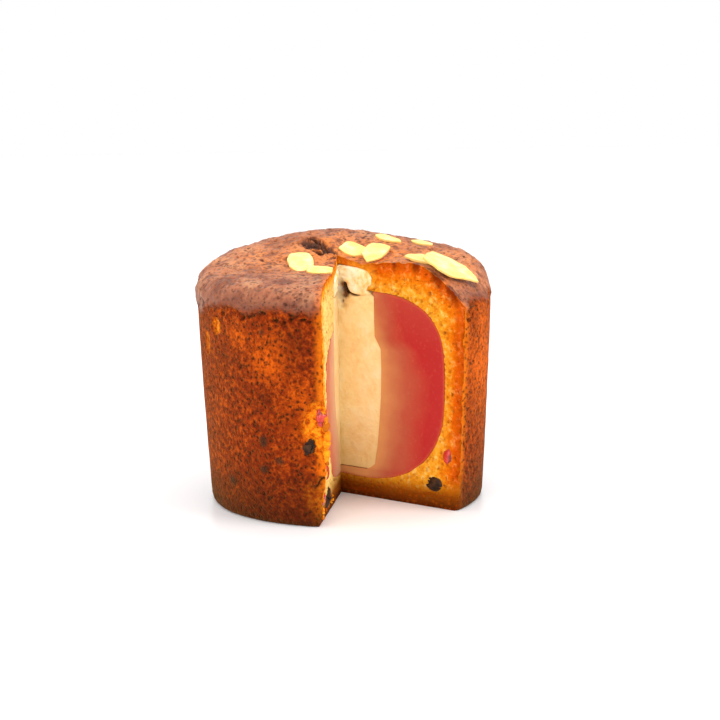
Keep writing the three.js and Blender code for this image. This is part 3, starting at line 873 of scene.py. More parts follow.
    def hollow(self, cut: Cut, gap: float = 0.06) -> tuple[np.ndarray, int]:
        """The outline of the filling on a cut.

        Returns:
            The outline as (out, up), from below the filling, out, over the fruit and up the
            cream's side to its crown, and the number of the point where the fruit ends.
        """
        side = float(cut is Cut.LEFT)
        angles = np.linspace(FILLING.start, float(FILLING.brim(NOTCH, np.array(side))), 220)
        skin = FILLING.skin(NOTCH, np.full(len(angles), side), angles, gap)
        skin[:, 0] = np.maximum(skin[:, 0], 0)
        both = FILLING.skin(NOTCH, np.array([0.0, 1.0]), np.full(2, angles[0]), gap)
        skin[0] = 0, both[:, 1].mean()
        ups = np.linspace(skin[-1, 1] + 0.05, FILLING.crown, 50)
        column = FILLING.column(ups, side) + [gap, 0.0]
        column[:, 1] += gap * smoothstep(59, FILLING.crown, ups)
        crown = [(share * column[-1, 0], up - share * FILLING.drop * side)
                 for share, up in ((0.66, 62.42), (0.33, 62.48), (0.0, 62.5))]
        return np.concatenate([skin, column, crown]), len(skin) - 1

    def face(self, cut: Cut, border: np.ndarray) -> Patch:
        """One cut face, between the outside's last column and the filling's outline.

        The two outlines are matched at four turning points and by length between them. Each
        column lies at an even share of the way from one to the other, and the crumb's relief is
        added along the cut's normal.
        """
        base_end = self.base_rows + len(self.turns) - 1
        rim_row = base_end + self.wall_rows - 1
        hollow, brim = self.hollow(cut)
        ray = hollow[:brim] - FILLING.heart
        angle = np.degrees(np.arctan2(ray[:, 1], ray[:, 0]))
        low, high = int(np.argmin(np.abs(angle + 44))), int(np.argmin(np.abs(angle - 38)))
        out = NOTCH.out(border)
        crown = int(np.argmin(np.abs(out[rim_row:] - 13))) + rim_row
        rows = [0, base_end, rim_row, crown, len(border) - 1]
        turns = [0, low, high, brim, len(hollow) - 1]
        inner = np.zeros((len(border), 2))
        for (a, b), (c, d) in zip(zip(rows, rows[1:]), zip(turns, turns[1:])):
            steps = np.linalg.norm(np.diff(border[a:b + 1], axis=0), axis=1)
            shares = np.concatenate([[0], np.cumsum(steps)]) / steps.sum()
            inner[a:b + 1] = along(hollow[c:d + 1], shares)
        outer = np.stack([out, border[:, 2]], -1)
        share = np.linspace(0, 1, self.face_columns)[None, :, None]
        spots = outer[:, None] * (1 - share) + inner[:, None] * share
        points = NOTCH.on_cut(cut, spots[..., 0], spots[..., 1])
        depth, near = away_from(spots, outer), away_from(spots, hollow[::4])
        height, pore = self.crumb_relief(points)
        fringe = 0.55 * smoothstep(-0.1, 0.6, rough(points, 2.8, 75)) * bell(depth - 1.2, 1.6)
        height += fringe * float(cut is Cut.LEFT) * (1 - smoothstep(28, 34, spots[..., 1]))
        height *= smoothstep(0, 0.9, depth) * smoothstep(-0.2, 0.6, near)
        height *= smoothstep(0, 1.2, spots[..., 0])
        points = points + NOTCH.facing(cut, spots[..., 1]) * height[..., None]
        points[:, 0] = border
        burnt = self.burnt(points) * bell(depth, 2.2) * smoothstep(30, 45, spots[..., 1])
        values = {"depth": depth, "near": near, "pore": pore, "burnt": burnt,
                  "side": np.full(depth.shape, float(cut is Cut.LEFT))}
        return Patch(points, 1, values, turned=cut is Cut.LEFT)

    def build(self) -> bpy.types.Object:
        """Makes the sponge's mesh and dresses it."""
        headings, out, up = self.section(NOTCH.sweep(self.columns))
        points = NOTCH.place(headings, out, up)
        relief, values = self.crust_relief(points)
        normal = outward(points)
        normal[:self.base_rows] = (0, 0, -1)
        relief[:self.base_rows] = 0
        normal[-self.level_rows:] = (0, 0, 1)
        relief[-1] = relief[-1].mean()
        points = points + normal * relief[..., None]
        points[..., 2] = np.maximum(points[..., 2], 0)
        for column, cut in ((0, Cut.RIGHT), (-1, Cut.LEFT)):
            ends = points[:, column]
            points[:, column] = NOTCH.on_cut(cut, NOTCH.out(ends), ends[:, 2])
        right, left = self.face(Cut.RIGHT, points[:, 0]), self.face(Cut.LEFT, points[:, -1])
        between = self.hollow_points(right.points[:, -1], left.points[:, -1], np.linspace(0, 1, 14))
        patches = [Patch(points, 0, values), right, left, Patch(between, 1, turned=True)]
        finishes = [CrustFinish().material(), CrumbFinish().material()]
        return make_mesh("sponge_cake", patches, finishes, ["sponge"])

    def hollow_points(self, right: np.ndarray, left: np.ndarray, shares: np.ndarray) -> np.ndarray:
        """The hollow's wall: each row goes from the right face's border to the left face's, round
        the corner, with its distance and height changing evenly."""
        out, up = ((a[:, None] * (1 - shares) + b[:, None] * shares)
                   for a, b in ((NOTCH.out(right), NOTCH.out(left)), (right[:, 2], left[:, 2])))
        points = NOTCH.place(NOTCH.headings(shares, up), out, up)
        points[:, 0], points[:, -1] = right, left
        return points


# ---- Filling ---------------------------------------------------------------------------------
@dataclass
class Fruit:
    """The poached fruit, cored and cut, as a section carried round the corner.

    Attributes:
        rows: Rows along the flesh's outline.
        columns: Headings from cut to cut.
        face_columns: Columns across each cut face.
        bend: The ray's angle at which the core's floor meets its wall.
    """

    rows: int = 190
    columns: int = 60
    face_columns: int = 56
    bend: float = math.atan2(-27.4, 3.6)

    def outlines(self, shares: np.ndarray) -> tuple[np.ndarray, np.ndarray]:
        """The skin and the core's wall, as (out, up), matched row by row.

        Both start below the corner and end where they meet, at the upper rim of the core. The
        first eighth of the rows is the floor of the core, and the rest its wall.

        Args:
            shares: One for each column, from the right cut to the left one.

        Returns:
            Two arrays shaped (rows, columns, 2).
        """
        left = NOTCH.leftward(NOTCH.headings(shares))
        end, start = FILLING.brim(NOTCH, shares), FILLING.start
        floor_rows = self.rows // 8
        t = np.linspace(0, 1, floor_rows)[:, None]
        w = np.linspace(0, 1, self.rows - floor_rows + 1)[1:, None]
        angles = np.concatenate([start + (self.bend - start) * t + 0 * end,
                                 self.bend + (end - self.bend) * w])
        skin = FILLING.skin(NOTCH, np.broadcast_to(shares, angles.shape), angles)
        skin[0, :, 0] = 0
        skin[0, :, 1] = skin[0, :, 1].mean()
        top = skin[-1, :, 1]
        floor_out = FILLING.level(FILLING.core, np.array(FILLING.floor), left) * t
        ups = FILLING.floor + (top - FILLING.floor) * w**1.05
        wall_out = FILLING.level(FILLING.core, ups, left)
        wall_out[-1] = skin[-1, :, 0]
        core = np.stack([np.concatenate([floor_out, wall_out]),
                         np.concatenate([FILLING.floor + 0 * floor_out, ups])], -1)
        return skin, core

    def face(self, cut: Cut, skin: np.ndarray, core: np.ndarray) -> Patch:
        """One cut face of the flesh, smooth, with a slight swell and a soft edge at the skin."""
        share = np.linspace(0, 1, self.face_columns)[None, :, None] ** 0.85
        spots = skin[:, None] * (1 - share) + core[:, None] * share
        from_skin, inside = away_from(spots, skin[::2]), away_from(spots, core[::2])
        from_core = spots[..., 0] - FILLING.level(FILLING.core, spots[..., 1], float(cut is Cut.LEFT))
        points = NOTCH.on_cut(cut, spots[..., 0], spots[..., 1])
        height = 0.10 * rough(points, 7, 81, 2) + 0.02 * swell(points, 1.4, 82) + 0.05
        height = height * smoothstep(-0.1, 1.2, np.minimum(inside, from_skin))
        height -= 0.15 * bell(from_skin, 0.35)
        height *= smoothstep(0, 1.5, spots[..., 0])
        points = points + NOTCH.facing(cut, spots[..., 1]) * height[..., None]
        values = {"from_skin": from_skin, "from_core": from_core,
                  "side": np.full(from_skin.shape, float(cut is Cut.LEFT))}
        return Patch(points, 0, values, turned=cut is Cut.LEFT)

    def build(self) -> bpy.types.Object:
        """Makes the fruit's mesh and dresses it."""
        shares = NOTCH.sweep(self.columns)
        skin, core = self.outlines(shares)
        skin_points, core_points = (NOTCH.place(NOTCH.headings(shares, s[..., 1]), s[..., 0], s[..., 1])
                                    for s in (skin, core))
        ends = ((Cut.RIGHT, 0), (Cut.LEFT, -1))
        faces = [self.face(cut, skin[:, end], core[:, end]) for cut, end in ends]
        for face, (_, end) in zip(faces, ends):
            skin_points[:, end], core_points[:, end] = face.points[:, 0], face.points[:, -1]
        patches = [Patch(skin_points, 0, {"from_core": np.full(skin.shape[:2], 20.0)}),
                   Patch(core_points, 0, turned=True), *faces]
        return make_mesh("poached_fruit", patches, [FleshFinish().material()], ["fruit"])


@dataclass
class Cream:
    """The cheese cream in the core, and the crumbly lump that it forms above.

    Attributes:
        rows: Rows up the cream.
        columns: Headings from cut to cut.
        face_columns: Columns across each cut face.
        gap: Room to the core's wall.
    """

    rows: int = 230
    columns: int = 48
    face_columns: int = 62
    gap: float = 0.03

    def outline(self, shares: np.ndarray) -> np.ndarray:
        """The cream's outside as (out, up), shaped (rows, columns, 2).

        The floor comes first, then the core's wall, the neck and the lump, and last its crown,
        which closes at the corner.
        """
        left = NOTCH.leftward(NOTCH.headings(shares))[None]
        floor_rows, crown_rows = self.rows // 12, self.rows // 12
        floor = FILLING.floor + 0.2
        wall = np.linspace(floor, FILLING.crown, self.rows - floor_rows - crown_rows)[:, None]
        side = FILLING.column(wall, left) - [self.gap, 0.0]
        t = np.linspace(0, 1, floor_rows + 1)[:-1, None]
        c = np.linspace(1, 0, crown_rows + 1)[1:, None]
        below = np.stack([side[:1, :, 0] * t, floor + 0 * side[:1, :, 0] * t], -1)
        over = FILLING.crown + 0.12 * (1 - c**2) - (FILLING.crown - side[-1:, :, 1]) * c
        return np.concatenate([below, side, np.stack([side[-1:, :, 0] * c, over], -1)])

    def neck(self, points: np.ndarray, out: np.ndarray) -> np.ndarray:
        """The cleft between the column and the lump, in painted shade: a wavy level line, 1 in its middle.
        """
        line = 55.3 + 0.6 * swell(points, 4.0, 92) - 0.9 * bell(out - 6, 4)
        thin = 0.25 + 0.35 * (1 - smoothstep(2.0, 6.0, out)) + 0.15 * swell(points, 1.7, 91)
        parted = smoothstep(0.4, 2.0, out) * (1 - 0.7 * smoothstep(5.0, 8.5, out))
        return bell(points[..., 2] - line, np.maximum(thin, 0.12)) * parted

    def face(self, cut: Cut, outline: np.ndarray) -> Patch:
        """One cut face: level rows from the corner out, smeared by the knife below the neck and
        crumbly above it, with a hollow in painted shade where the lump parted at the corner."""
        ups = np.linspace(outline[0, 1], outline[-1, 1], len(outline))
        spine = np.stack([0 * ups, ups], -1)
        share = np.linspace(0, 1, self.face_columns)[None, :, None]
        spots = outline[:, None] * (1 - share) + spine[:, None] * share
        points = NOTCH.on_cut(cut, spots[..., 0], spots[..., 1])
        out = spots[..., 0]
        loose = smoothstep(54.6, 56.2, points[..., 2] + 0.5 * rough(points, 1.6, 90, 2))
        neck = self.neck(points, out)
        on_right = float(cut is Cut.RIGHT)
        pocket = bell(np.hypot((out - 1.6) / 1.9, (points[..., 2] - 54.9) / 4.8), 0.75) * on_right
        pocket = np.clip(pocket * (1 + 0.9 * rough(points, 1.5, 99, 2)), 0, 1)
        rim = np.linalg.norm(spots - outline[:, None], axis=-1)
        smear = 0.10 * rough(points * [1, 1, 0.35], 3.2, 93) + 0.05 * swell(points, 0.9, 94)
        smear -= 0.20 * pores(points, 2.9, 98, 0.2, 0.4)
        crumbly = 0.55 * rough(points, 2.2, 95, 3) - 0.8 * pores(points, 2.4, 96, 0.6, 0.85)
        height = smear * (1 - loose) + crumbly * loose - 1.1 * neck - 1.6 * pocket
        height *= smoothstep(0, 0.5, out) * smoothstep(-0.2, 0.7, rim)
        height += 0.25 * smoothstep(0, 1.0, rim) * smoothstep(0, 1.5, out) * loose
        seam = bell(out - 0.9, 0.4) * smoothstep(-0.3, 0.5, rough(points, 1.3, 97, 2)) * on_right
        points = points + NOTCH.facing(cut, spots[..., 1]) * height[..., None]
        # The cleft and the hollow, for the finish's painted shade.
        values = {"loose": loose, "neck": np.maximum(neck, pocket), "rim": rim,
                  "seam": seam * (1 - loose)}
        return Patch(points, 0, values, turned=cut is Cut.LEFT)

    def build(self) -> bpy.types.Object:
        """Makes the cream's mesh and dresses it."""
        shares = NOTCH.sweep(self.columns)
        outline = self.outline(shares)
        points = NOTCH.place(NOTCH.headings(shares, outline[..., 1]), outline[..., 0], outline[..., 1])
        faces = [self.face(Cut.RIGHT, outline[:, 0]), self.face(Cut.LEFT, outline[:, -1])]
        points[:, 0], points[:, -1] = faces[0].points[:, 0], faces[1].points[:, 0]
        return make_mesh("cheese_cream", [Patch(points), *faces], [CreamFinish().material()],
                         ["cream"])


# ---- Almonds and dried fruit -----------------------------------------------------------------
@dataclass(frozen=True)
class AlmondSlice:
    """Where one slice of almond lies, which way it points, and how it sits on the top."""

    x: float
    y: float
    heading: float
    size: float
    lift: float
    lean: float


@dataclass
class Almonds:
    """The sliced almonds that were baked onto the top.

    Attributes:
        length: Length of a slice of size 1.
        width: Its width.
        thickness: Thickness of every slice.
        sunk: How deep they lie in the crust.
        span: Distance each way over which the top's slope is taken.
        around: Columns round a slice.
        fall: Rows from the middle of its upper face to that of its lower one.
        slices: One for each almond.
    """

    length: float = 13.0
    width: float = 8.4
    thickness: float = 1.05
    sunk: float = 0.35
    span: float = 3.0
    around: int = 72
    fall: int = 37
    slices: tuple[AlmondSlice, ...] = (
        AlmondSlice(-11.2, -6.6, 6, 0.82, 0.5, 15), AlmondSlice(-5.5, -11.9, 84, 0.64, 0.3, 8),
        AlmondSlice(3.2, 3.6, 62, 0.7, 0, 4), AlmondSlice(8.3, -1.0, -18, 0.82, 1.6, 9),
        AlmondSlice(21.6, -8.8, 56, 0.9, 0, 7), AlmondSlice(27.6, -13.1, 84, 1.2, 1.5, 5),
        AlmondSlice(12.4, 12.3, 60, 0.6, 0.1, 0), AlmondSlice(21.6, 12.8, 60, 0.5, 0.1, 0),
        AlmondSlice(-3.0, 29.5, 84, 0.8, 0.2, -2), AlmondSlice(-15.2, 28.0, -60, 0.85, 0.2, 0),
        AlmondSlice(10.2, 29.4, 75, 0.85, 0.3, 0))

    def frame_of(self, spec: AlmondSlice) -> tuple[np.ndarray, np.ndarray]:
        """The slice's middle, and its directions along, across and up as rows."""
        x, y, top, span = spec.x, spec.y, FORM.top_height, self.span
        slopes = top(x + span, y) - top(x - span, y), top(x, y + span) - top(x, y - span)
        up = Vector((-slopes[0] / (2 * span), -slopes[1] / (2 * span), 1)).normalized()
        up.rotate(Euler((math.radians(spec.lean), 0, 0)))
        a = math.radians(spec.heading)
        along_it = Vector((math.sin(a), -math.cos(a), 0))
        across = up.cross(along_it).normalized()
        middle = top(x, y) + self.thickness / 2 - self.sunk + spec.lift
        return np.array([x, y, float(middle)]), np.array([across.cross(up), across, up])

    def patch(self, number: int, spec: AlmondSlice) -> Patch:
        """One slice as a closed grid: its profile carried round a drop-shaped outline.

        The outline is an ellipse, wider behind the middle by 1 - 0.28 cos, drawn halfway to five
        straight sides, with a seeded unevenness. The profile goes from the middle of the upper
        face over a rounded edge to the middle of the lower face, as a superellipse of power 5. The
        slice is bent by a third of the way from its own plane to the cake's top.
        """
        around = np.linspace(0, 2 * np.pi, self.around + 1)[:-1]
        fall = np.linspace(0, np.pi, self.fall)[:, None]
        rim = np.sin(fall) ** 0.4
        face = np.sign(np.cos(fall)) * np.abs(np.cos(fall)) ** 0.4
        ring = np.stack([np.cos(around), np.sin(around), 0 * around + 3.7 * number], -1)
        corner = np.pi / 5
        angular = math.cos(corner) / np.cos((around + 1.3 * number) % (2 * corner) - corner)
        uneven = 0.45 + 0.61 * angular + 0.08 * rough(ring, 0.8, 101, 2) + 0.03 * swell(ring, 0.22, 102)
        half = spec.size * np.array([self.length, self.width]) / 2
        a = half[0] * np.cos(around) * uneven * rim
        b = half[1] * np.sin(around) * (1 - 0.28 * np.cos(around)) * uneven * rim
        seeded = np.stack([a, b, 0 * a + 11.0 * number], -1)
        thin = 0.9 + 0.25 * rough(seeded, 4.0, 103, 2)
        c = self.thickness / 2 * face * thin * 0.9 + 0.10 * rough(seeded, 2.2, 104, 2) * (rim < 1)
        c = c + 0.3 * rough(seeded, 7.0, 105, 1)
        middle, axes = self.frame_of(spec)
        points = middle + a[..., None] * axes[0] + b[..., None] * axes[1] + c[..., None] * axes[2]
        lying = FORM.top_height(points[..., 0], points[..., 1])
        plane = middle[2] - (axes[2, 0] * (points[..., 0] - middle[0])
                             + axes[2, 1] * (points[..., 1] - middle[1])) / axes[2, 2]
        lower = middle[2] - float(FORM.top_height(spec.x, spec.y))
        points[..., 2] += 0.33 * np.clip(lying + lower - plane, -1.2, 0.6)
        points = np.concatenate([points, points[:, :1]], axis=1)
        points[0], points[-1] = points[0].mean(0), points[-1].mean(0)
        return Patch(points, 0, {"edge": np.broadcast_to(rim, points.shape[:2])})

    def trimmed(self, patch: Patch) -> Patch:
        """The slice with what the knife cut off pushed back onto the nearest cut's face."""
        plan = patch.points[..., :2] - np.array(NOTCH.corner)
        facings = np.stack([NOTCH.facing(cut)[:2] for cut in Cut])
        over = plan @ facings.T
        nearest = facings[np.argmin(over, axis=-1)]
        patch.points[..., :2] -= np.maximum(over.min(axis=-1) + 0.02, 0)[..., None] * nearest
        return patch

    def build(self) -> list[bpy.types.Object]:
        """Makes one piece for each slice and dresses it."""
        finish = AlmondFinish().material()
        pieces = []
        for number, spec in enumerate(self.slices, start=1):
            patch = self.trimmed(self.patch(number, spec))
            pieces.append(make_mesh(f"almond_slice_{number}", [patch], [finish],
                                    [f"almond_{number}"], sharp=80))
        return pieces


@dataclass(frozen=True)
class Berry:
    """A raisin or cherry: the cut it lies in, its distance out and up, how far behind the cut its
    middle is, and half its size out, in and up."""

    cut: Cut
    out: float
    up: float
    behind: float
    half: tuple[float, float, float]


@dataclass
class DriedFruit:
    """The raisins and cherries that show on the cuts and in the wall.

    Attributes:
        raisins: One for each raisin.
        cherries: One for each cherry.
        seed: First seed of their folds, which goes up by ten for each.
    """

    raisins: tuple[Berry, ...] = (
        Berry(Cut.LEFT, 24.7, 5.6, 1.6, (3.0, 2.4, 4.3)),
        Berry(Cut.LEFT, 36.0, 20.6, 4.0, (1.9, 2.0, 2.4)),
        Berry(Cut.LEFT, 19.0, 3.1, 0.9, (1.3, 1.2, 1.1)),
        Berry(Cut.RIGHT, 2.9, 57.0, 2.0, (1.8, 1.9, 2.6)),
        Berry(Cut.RIGHT, 30.4, 6.4, 1.6, (4.1, 2.4, 2.6)))
    cherries: tuple[Berry, ...] = (
        Berry(Cut.LEFT, 35.3, 28.4, 0.9, (2.0, 1.5, 3.1)),
        Berry(Cut.LEFT, 31.9, 13.2, 1.5, (2.6, 2.2, 2.5)),
        Berry(Cut.LEFT, 34.0, 7.2, 1.4, (1.6, 2.0, 2.4)),
        Berry(Cut.RIGHT, 34.6, 14.0, 1.6, (2.0, 2.2, 2.9)))
    seed: int = 206

    def patch(self, berry: Berry, seed: int, wrinkle: float, fold: float) -> Patch:
        """A wrinkled ball as a grid of latitude and longitude.

        The radius is 1 plus a slow unevenness, less sharp folds that are 1 - |noise| of a wave
        bent by another, so they run in branching creases.

        Args:
            berry: Where it lies and its size.
            seed: Which folds.
            wrinkle: Depth of the folds, as a share of the radius.
            fold: Distance between folds, in millimetres.

        Returns:
            The closed grid, with the folds' depth as "fold".
        """
        sized = unit_ball(61, 97) * berry.half
        bent = sized + 0.9 * np.stack([swell(sized, 2.4, seed + k) for k in range(3)], -1)
        creases = 1 - np.abs(swell(bent, fold, seed + 5))
        creases = np.clip((creases - 0.72) / 0.28, 0, 1) ** 1.5
        radius = 1 + 0.09 * swell(sized, 2.6, seed + 9) - wrinkle * creases
        sized = sized * np.clip(radius, 0.6, 1.06)[..., None]
        way = np.append(NOTCH.way(NOTCH.heading(berry.cut, berry.up)), 0.0)
        facing = NOTCH.facing(berry.cut, berry.up)
        centre = np.array([*NOTCH.corner, berry.up]) + way * berry.out - facing * berry.behind
        turned = np.stack([way, facing, np.array([0, 0, 1.0])])
        points = centre + sized @ turned
        proud = (points[..., :2] - np.array(NOTCH.corner)) @ facing[:2] - 0.55
        points[..., :2] -= 0.75 * np.maximum(proud, 0)[..., None] * facing[:2]
        return Patch(points, 0, {"fold": creases})

    def build(self) -> list[bpy.types.Object]:
        """Makes one piece for each raisin and cherry and dresses it."""
        kinds = (("raisin", self.raisins, RaisinFinish().material(), 0.20, 1.25),
                 ("cherry", self.cherries, CherryFinish().material(), 0.10, 1.9))
        pieces = []
        for kind, berries, finish, wrinkle, fold in kinds:
            for number, berry in enumerate(berries, start=1):
                patch = self.patch(berry, self.seed + 10 * number, wrinkle, fold)
                pieces.append(make_mesh(f"dried_{kind}_{number}", [patch], [finish],
                                        [f"{kind}_{number}"], sharp=85))
        return pieces


# ---- Crumbs ----------------------------------------------------------------------------------
@dataclass(frozen=True)
class Scatter:
    """A place on a cut with loose crumbs: distance out and up, how far they spread each way, how
    many there are, and how large they get."""

    cut: Cut
    out: float
    up: float
    spread: tuple[float, float]
    count: int
    size: float


@dataclass
class Crumbs:
    """Loose crumbs that the knife dragged over the cuts and the torn edge of the wall.

    Attributes:
        places: Where they lie.
        seed: Seed of the first place, which goes up by one for each.
    """

    places: tuple[Scatter, ...] = (
        Scatter(Cut.LEFT, 37.3, 17.6, (0.7, 1.0), 16, 0.9),
        Scatter(Cut.LEFT, 36.2, 23.0, (1.4, 5.0), 14, 1.5),
        Scatter(Cut.LEFT, 37.2, 24.0, (0.5, 7.0), 26, 0.6),
        Scatter(Cut.LEFT, 35.8, 7.5, (0.8, 5.5), 14, 0.5),
        Scatter(Cut.LEFT, 22.0, 3.5, (9.0, 1.8), 16, 0.5),
        Scatter(Cut.LEFT, 4.0, 57.5, (2.0, 2.0), 10, 0.55))
    seed: int = 300

    def patches(self, place: Scatter, seed: int) -> list[Patch]:
        """The crumbs of one place: small lumpy balls, half sunk in the cut.

        A crumb's place and size come from seeded numbers. Its radius is 1 plus noise of its own,
        and it is flattened towards the cut.
        """
        draw = np.random.default_rng(seed)
        ball = unit_ball(11, 15)
        heading = NOTCH.heading(place.cut, place.up)
        way, facing = np.append(NOTCH.way(heading), 0.0), NOTCH.facing(place.cut, place.up)
        limit = NOTCH.reach(heading, FORM.wall_radius(np.array(place.up)))
        made = []
        for spot in draw.uniform(-1, 1, (place.count, 5)):
            size = place.size * (0.45 + 0.55 * abs(spot[2]))
            out = min(max(place.out + place.spread[0] * spot[0], 0.8), float(limit) - 1.0 - 0.5 * size)
            up = max(place.up + place.spread[1] * spot[1], size * 0.8)
            lumpy = ball * (1 + 0.45 * rough(ball + 9 * spot[:3], 1.1, seed, 2))[..., None]
            sides = np.stack([way, facing * 0.75, np.array([0, 0, 0.9])])
            middle = np.array([*NOTCH.corner, up]) + way * out + facing * size * 0.22
            made.append(Patch(middle + size * lumpy @ sides, 0,
                              {"tone": np.full(ball.shape[:2], abs(spot[4]))}))
        return made

    def build(self) -> bpy.types.Object:
        """Makes all crumbs as one mesh and dresses it."""
        patches = [patch for seed, place in enumerate(self.places, start=self.seed)
                   for patch in self.patches(place, seed)]
        return make_mesh("loose_crumbs", patches, [LooseCrumbFinish().material()])


# ---- Finishes --------------------------------------------------------------------------------
@dataclass(frozen=True)
class CrustFinish:
    """Baked pound cake crust. Butter and sugar brown the wall round its countless small pores, fine
    crumbs on it catch the light where it turns away, and the top is a silky skin whose paler
    mauve is partly painted sheen."""

    pit: str = "#2a0b01"
    shade: str = "#561702"
    mid: str = "#862902"
    light: str = "#c04e0b"
    orange: str = "#e26006"
    mauve: str = "#bc6f48"

    def wall(self, n: Nodes, spot: bpy.types.NodeSocket, broad: bpy.types.NodeSocket,
             fleck: bpy.types.NodeSocket, hole: bpy.types.NodeSocket) -> bpy.types.NodeSocket:
        """Flecks of a millimetre with pores between them darkened as painted shade, orange where it
        baked less and as painted light on the right side and by the notch, and darkest at the base.

        Args:
            n: The node tree.
            spot: Object coordinates.
            broad: Slow noise.
            fleck: Noise of a millimetre.
            hole: 1 in the middle of each fine pore.

        Returns:
            The wall's colour.
        """
        height = n.add("SeparateXYZ", spot, output="Z")
        glow = n.add("Attribute", output="Fac", attribute_name="glow")
        edge = n.add("Attribute", output="Fac", attribute_name="edge")
        pore = n.add("Attribute", output="Fac", attribute_name="pore")
        colour = n.add("ValToRGB", fleck, stops=((0.36, self.shade), (0.49, self.mid), (0.64, self.light)))
        reddish = n.add("MapRange", broad, 0.42, 0.64, 0.0, 0.6)
        colour = n.add("MixRGB", reddish, colour, "#7a2203")
        speckled = n.add("MapRange", fleck, 0.36, 0.58, 0.3, 1.0)
        browned = n.add("Attribute", output="Fac", attribute_name="browned")
        colour = n.add("MixRGB", n.add("MapRange", browned, 0.0, 1.0, 0.0, 0.65), colour, "#521603")
        # Orange where the wall baked less, and painted light on the right side and by the notch.
        lit = n.add("Math", glow, speckled, operation="MULTIPLY")
        colour = n.add("MixRGB", lit, colour, self.orange)
        warm_edge = n.add("Math", edge, 0.65, operation="MULTIPLY")
        colour = n.add("MixRGB", warm_edge, colour, "#f07a0a")
        # Painted shade in the pores and pits.
        colour = n.add("MixRGB", n.add("MapRange", pore, 0.1, 0.8, 0.0, 0.7), colour, "#4a1402")
        colour = n.add("MixRGB", n.add("Math", hole, 0.85, operation="MULTIPLY"), colour, self.pit)
        return n.add("MixRGB", n.add("MapRange", height, 0.0006, 0.015, 0.85, 0.0), colour, "#360f02")

    def top(self, n: Nodes, broad: bpy.types.NodeSocket, knobs: bpy.types.NodeSocket,
            fleck: bpy.types.NodeSocket, hole: bpy.types.NodeSocket) -> bpy.types.NodeSocket:
        """Mauve brown skin, paler partly as painted sheen, darker towards the rim, orange between the
        almonds, dark round the splits and scorched along the cut, with small pits and the hollows
        between knobs darkened as painted shade."""
        warm = n.add("Attribute", output="Fac", attribute_name="warm")
        pore = n.add("Attribute", output="Fac", attribute_name="pore")
        rim = n.add("Attribute", output="Fac", attribute_name="rim")
        burst = n.add("Attribute", output="Fac", attribute_name="burst")
        # Painted sheen in part: the mauve of these stops is paler than the crust's own brown, on top of the
        # real gloss set below.
        colour = n.add("ValToRGB", broad, stops=((0.38, "#8c4a2b"), (0.5, self.mauve), (0.62, "#d08c60")))
        colour = n.add("MixRGB", n.add("Math", rim, 0.9, operation="MULTIPLY"), colour, "#783a1c")
        colour = n.add("MixRGB", warm, colour, "#f28a3c")
        edge = n.add("Attribute", output="Fac", attribute_name="edge")
        colour = n.add("MixRGB", n.add("Math", edge, 0.6, operation="MULTIPLY"), colour, "#ec7414")
        # Painted shade in the hollows between the knobs, which the bump lowers.
        colour = n.add("MixRGB", n.add("MapRange", knobs, 0.5, 0.66, 0.0, 0.7), colour, "#74341a")
        colour = n.add("MixRGB", n.add("MapRange", fleck, 0.52, 0.68, 0.0, 0.4), colour, "#743416")
        colour = n.add("MixRGB", n.add("MapRange", burst, 0.25, 0.9, 0.0, 0.7), colour, "#5a2408")
        # Painted shade in the pores and pits.
        colour = n.add("MixRGB", n.add("Math", hole, 0.72, operation="MULTIPLY"), colour, "#54220c")
        return n.add("MixRGB", n.add("MapRange", pore, 0.1, 0.6, 0.0, 0.9), colour, "#431707")

    def material(self) -> bpy.types.Material:
        """The wall and the top in one, parted by the edge of the cap, with what breaks them."""
        n = Nodes("baked_pound_cake_crust")
        spot = n.add("TexCoord", output="Object")
        broad = n.add("TexNoise", {"Vector": spot, "Scale": per(9.0), "Detail": 4.0})
        fleck = n.add("TexNoise", {"Vector": spot, "Scale": per(1.3), "Detail": 4.0,
                                   "Roughness": 0.68})
        grain = n.add("TexNoise", {"Vector": spot, "Scale": per(0.5), "Detail": 2.0})
        drift = n.add("TexNoise", {"Vector": spot, "Scale": per(1.4), "Detail": 1.0}, output="Color")
        bent = n.add("VectorMath", drift, (0.0014,) * 3, spot, operation="MULTIPLY_ADD")
        cell = n.add("TexVoronoi", {"Vector": bent, "Scale": per(1.25)}, output="Distance")
        many = n.add("MapRange", broad, 0.36, 0.58, 0.5, 1.0)
        hole = n.add("Math", n.add("MapRange", cell, 0.16, 0.42, 1.0, 0.0), many, operation="MULTIPLY")
        skin = n.add("Attribute", output="Fac", attribute_name="skin")
        torn = n.add("Attribute", output="Fac", attribute_name="torn")
        raisin = n.add("Attribute", output="Fac", attribute_name="raisin")
        deep = n.add("Attribute", output="Fac", attribute_name="deep")
        crack = n.add("Attribute", output="Fac", attribute_name="crack")
        burnt = n.add("Attribute", output="Fac", attribute_name="burnt")
        knobs = n.add("TexNoise", {"Vector": spot, "Scale": per(2.6), "Detail": 3.0})
        wall, top = self.wall(n, spot, broad, fleck, hole), self.top(n, broad, knobs, fleck, hole)
        colour = n.add("MixRGB", skin, wall, top)
        crumb = n.add("ValToRGB", fleck, stops=((0.36, "#a83c02"), (0.48, "#e06a06"), (0.64, "#f8981a")))
        colour = n.add("MixRGB", torn, colour, crumb)
        colour = n.add("MixRGB", n.add("MapRange", raisin, 0.05, 0.7, 0.0, 0.85), colour, "#352015")
        # Painted shade under the rim: its pores, pits and groove, whose band is a painted shadow of the
        # cap's overhang.
        colour = n.add("MixRGB", n.add("MapRange", deep, 0.15, 0.7, 0.0, 0.9), colour, "#300e03")
        colour = n.add("MixRGB", n.add("MapRange", burnt, 0.1, 0.9, 0.0, 0.85), colour, "#5c1f04")
